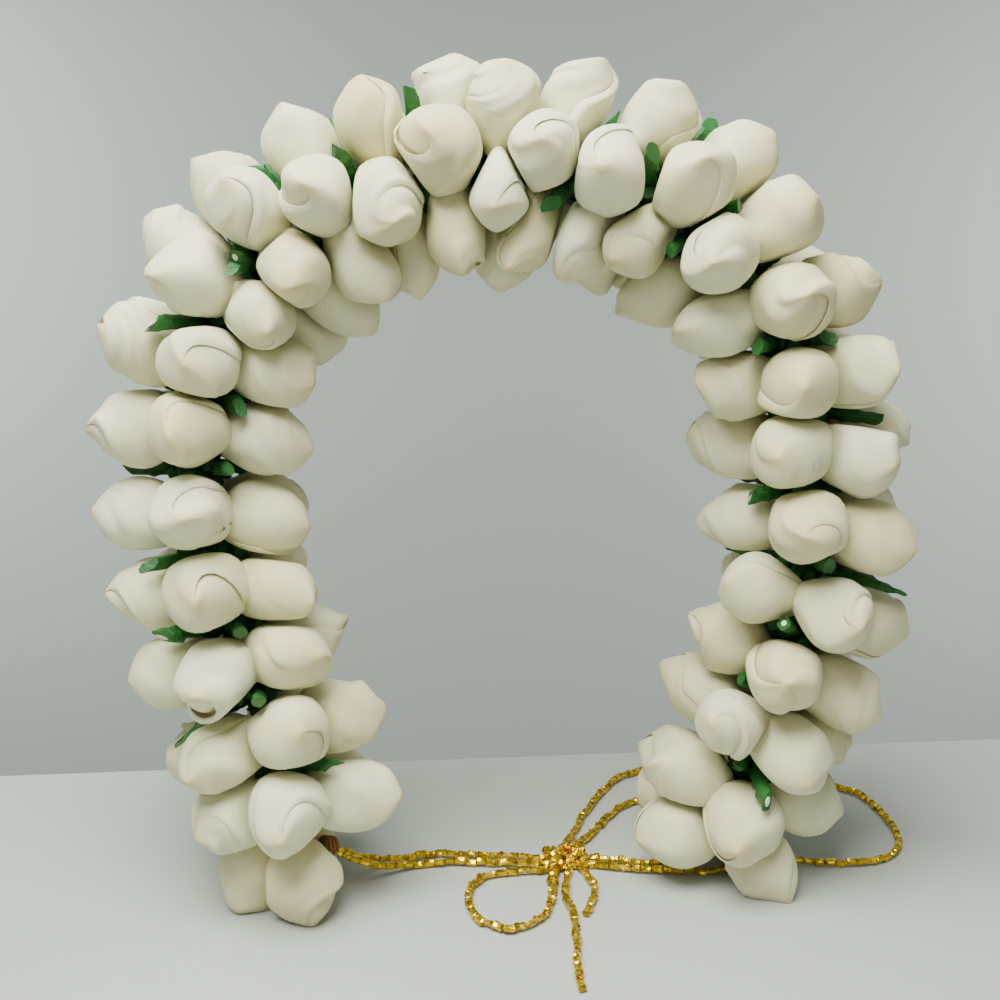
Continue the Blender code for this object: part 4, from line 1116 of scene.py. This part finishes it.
def stemTree():
    tree, wanted, output = newTree("cutStems", {
        "Float": list(stemLook["inputs"]), "Int": ["Seed"], "Material": ["Tape", "Pith"]})

    def stored(name, kind="FLOAT"):
        return fromNode(tree, "GeometryNodeInputNamedAttribute", {"Name": name}, data_type=kind)

    roll = xyz(tree, 0.0, 0.0, randomBetween(tree, 0.0, stemLook["roll"], wanted["Seed"]))
    turned = aimed(tree, stored("way", "FLOAT_VECTOR"), roll)
    size = xyz(tree, times(tree, stored("wide"), wanted["Radius"]),
               times(tree, stored("thin"), wanted["Radius"]), stored("reach"))
    both = addNode(tree, "GeometryNodeJoinGeometry")

    def plant(chosen, piece, paint, crumple):
        bars = real(tree, throughNode(tree, "GeometryNodeInstanceOnPoints", wanted["Geometry"], {
            "Selection": chosen, "Instance": piece, "Rotation": turned, "Scale": size}))
        if crumple:
            bars = throughNode(tree, "GeometryNodeSetShadeSmooth", bars, {"Shade Smooth": False})
            bars = crumpled(tree, bars, wanted["Crumple"], wanted["Crumple Scale"])
        join(tree, (painted(tree, bars, paint), both.inputs["Geometry"]))

    bar = fromNode(tree, "GeometryNodeMeshCylinder", stemLook["cylinder"])
    plug = fromNode(tree, "GeometryNodeMeshCylinder", stemLook["plug"])
    cut = stemBar(tree, wanted, bar, wanted["Flare"], 0.0)
    leaf = stemBar(tree, wanted, bar, stemLook["leafTip"], stemLook["leafBend"])
    core = stemBar(tree, wanted, moved(tree, plug, {"Offset": stemLook["plugLift"]}), wanted["Flare"], 0.0)
    plant(reckon(tree, "LESS_THAN", stored("leaf"), 0.5), cut, wanted["Tape"], True)
    plant(reckon(tree, "GREATER_THAN", stored("leaf"), 0.5), leaf, wanted["Tape"], True)
    plant(reckon(tree, "GREATER_THAN", stored("pith"), 0.5), core, wanted["Pith"], False)
    join(tree, (both.outputs["Geometry"], output))
    return tree


cutStems = stemTree()


def joined(name, parts):
    with bpy.context.temp_override(active_object=parts[0], object=parts[0], selected_editable_objects=parts,
                                   selected_objects=parts):
        bpy.ops.object.join()
    parts[0].name = parts[0].data.name = name
    return parts[0]


def boundBar(line, bar, thread, pitch, barPaint, threadPaint):
    # A bar along a line, and thread wound close round it
    core = runTree(curveObject("bar", line), barNodes, {"Radius": bar, "Paint": barPaint})
    wound = runTree(curveObject("thread", line), winding, {
        "Step": pitch / stemLook["pointsPerTurn"], "Turn": fullTurn / stemLook["pointsPerTurn"],
        "Wind Radius": bar + 0.5 * thread, "Thread Radius": thread, "Thread": threadPaint})
    return [core, wound]


def stemPoints(name, stems, draw):
    # One point for each stem, with what the tree needs to shape it
    made = meshObject(name, [stem["here"] + stem["direction"] * stemShape["root"] for stem in stems], [])
    values = {
        "way": [stem["direction"] for stem in stems],
        "reach": [stem["reach"] - stemShape["root"] for stem in stems],
        "wide": [draw.uniform(*stemLook["wide"]) for _ in stems],
        "thin": [draw.uniform(*stemLook["thin"]) for _ in stems],
        "leaf": [float(draw.random() < stemLook["leaf"] and not stem["pith"]) for stem in stems],
        "pith": [float(stem["pith"]) for stem in stems],
    }
    for label, column in values.items():
        kind, field = ("FLOAT_VECTOR", "vector") if label == "way" else ("FLOAT", "value")
        stored = made.data.attributes.new(label, kind, "POINT")
        stored.data.foreach_set(field, np.array(column, np.float32).ravel())
    return made


def collarStems(gap, draw):
    # Short butts of the stems bound in at a gap, close round the wire
    middle = 0.5 * (places[gap] + places[gap + 1])
    here, ahead = atArc(ropeLine, ropeArcs, [middle, middle + 0.5 * mm])
    along = unit(ahead - here)
    side = unit(np.cross(along, [0.0, 1.0, 0.0]))
    across = np.cross(along, side)
    made = []
    for index in range(stemLook["collar"]):
        turn = fullTurn * (index + draw.uniform(*stemLook["collarTurn"])) / stemLook["collar"]
        direction = unit(swing(turn, side, across) + draw.uniform(*stemLook["collarLean"]) * along)
        made.append({"here": here, "direction": direction, "reach": draw.uniform(*stemLook["collarReach"]),
                     "pith": False})
    return made


def makeBunches():
    draw = random.Random(rope["seed"] + 3)
    for gap, stems in enumerate(gaps):
        for index, stem in enumerate(stems):
            stem["pith"] = (gap, index) in stemLook["pithed"] or draw.random() < stemLook["pithBack"]
    for number, first in enumerate(range(0, len(gaps), stemLook["gapsInBunch"]), 1):
        last = first + stemLook["gapsInBunch"]
        line = atArc(ropeLine, ropeArcs, np.arange(places[first], places[last], stemLook["lineStep"]))
        parts = boundBar(line, *stemLook["bar"], greenTape, greenThread)
        stems = [stem for some in gaps[first:last] for stem in some]
        stems += [stem for gap in range(first, min(last, len(gaps))) for stem in collarStems(gap, draw)]
        parts.append(runTree(stemPoints("stems", stems, draw), cutStems, {
            **stemLook["inputs"], "Seed": number, "Tape": greenTape, "Pith": pith}))
        made = joined(f"stemBunch{number:02d}", parts)
        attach(made, "root")
        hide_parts(f"stem_bunch_{number:02d}")


def makeWire():
    taped = runTree(curveObject("coreWire", wire), barNodes, {
        "Radius": stemLook["wireRadius"], "Paint": wireTape})
    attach(taped, "root")
    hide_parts("core_wire")
    for side, end in (("left", rope["leftEnd"]), ("right", rope["rightEnd"])):
        tip, before = np.array(end[-1]), np.array(end[-2])
        steps = np.linspace(rope["bindingLength"], 0, stemLook["bindingPoints"])
        line = tip - np.outer(steps, unit(tip - before))
        parts = boundBar(line, *stemLook["bindingBar"], brownThread, brownThread)
        made = joined("wireBinding" + side.capitalize(), parts)
        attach(made, "root")
        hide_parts("wire_binding_" + side)


makeBunches()
makeWire()
print("stems bound")


# Floor, far wall and light

stage = {
    "floor": [(-1.5, -1.4, 0), (1.5, -1.4, 0), (0.6, 0.101, 0), (-0.6, -0.011, 0)],
    "wall": [(-1.5, 0.55, -1.0), (1.5, 0.55, -1.0), (1.5, 0.55, 1.5), (-1.5, 0.55, 1.5)],
    "floorColour": (0.43, 0.46, 0.43), "wallColour": (0.48, 0.525, 0.485), "roughness": 0.7, "specular": 0.2,
}
light = {  # place, what it looks at, size, power and colour of each lamp
    "key": ((-0.05, -0.09, 0.28), (0, 0, 0.05), 0.2, 2.4, (1.0, 0.99, 0.93)),
    "fill": ((0.1, -0.9, 0.35), (0, 0, 0.05), 0.7, 0.4, (1.0, 1.0, 0.95)),
    "leftWash": ((-0.42, 0.36, 0.12), (-0.3, 0.55, 0.0), 0.35, 1.4, (0.97, 1.0, 0.97)),
    "rightWash": ((0.42, 0.36, 0.08), (0.3, 0.55, -0.02), 0.35, 1.1, (0.97, 1.0, 0.99)),
}
sky = {"colour": (0.94, 0.95, 0.92), "strength": 0.36}


def sheetOf(name, paintName):
    paint = newMaterial(paintName, {
        "Base Color": (*stage[name + "Colour"], 1.0), "Roughness": stage["roughness"],
        "Specular IOR Level": stage["specular"]})[0]
    return meshObject(name, stage[name], [(0, 1, 2, 3)], paint)


def addArea(name, place, aim, size, power, colour):
    lamp = bpy.data.lights.new(name, "AREA")
    lamp.size, lamp.energy, lamp.color = size, power, colour
    made = addObject(name, lamp)
    made.location = place
    made.rotation_euler = (Vector(aim) - Vector(place)).to_track_quat("-Z", "Y").to_euler()


def makeLight():
    world = bpy.data.worlds.new("studio")
    world.use_nodes = True
    background = world.node_tree.nodes["Background"]
    background.inputs["Color"].default_value = (*sky["colour"], 1.0)
    background.inputs["Strength"].default_value = sky["strength"]
    scene.world = world
    for name, values in light.items():
        addArea(name, *values)


sheetOf("floor", "floorSheet")
sheetOf("wall", "wallPaint")
makeLight()
print("stage lit")
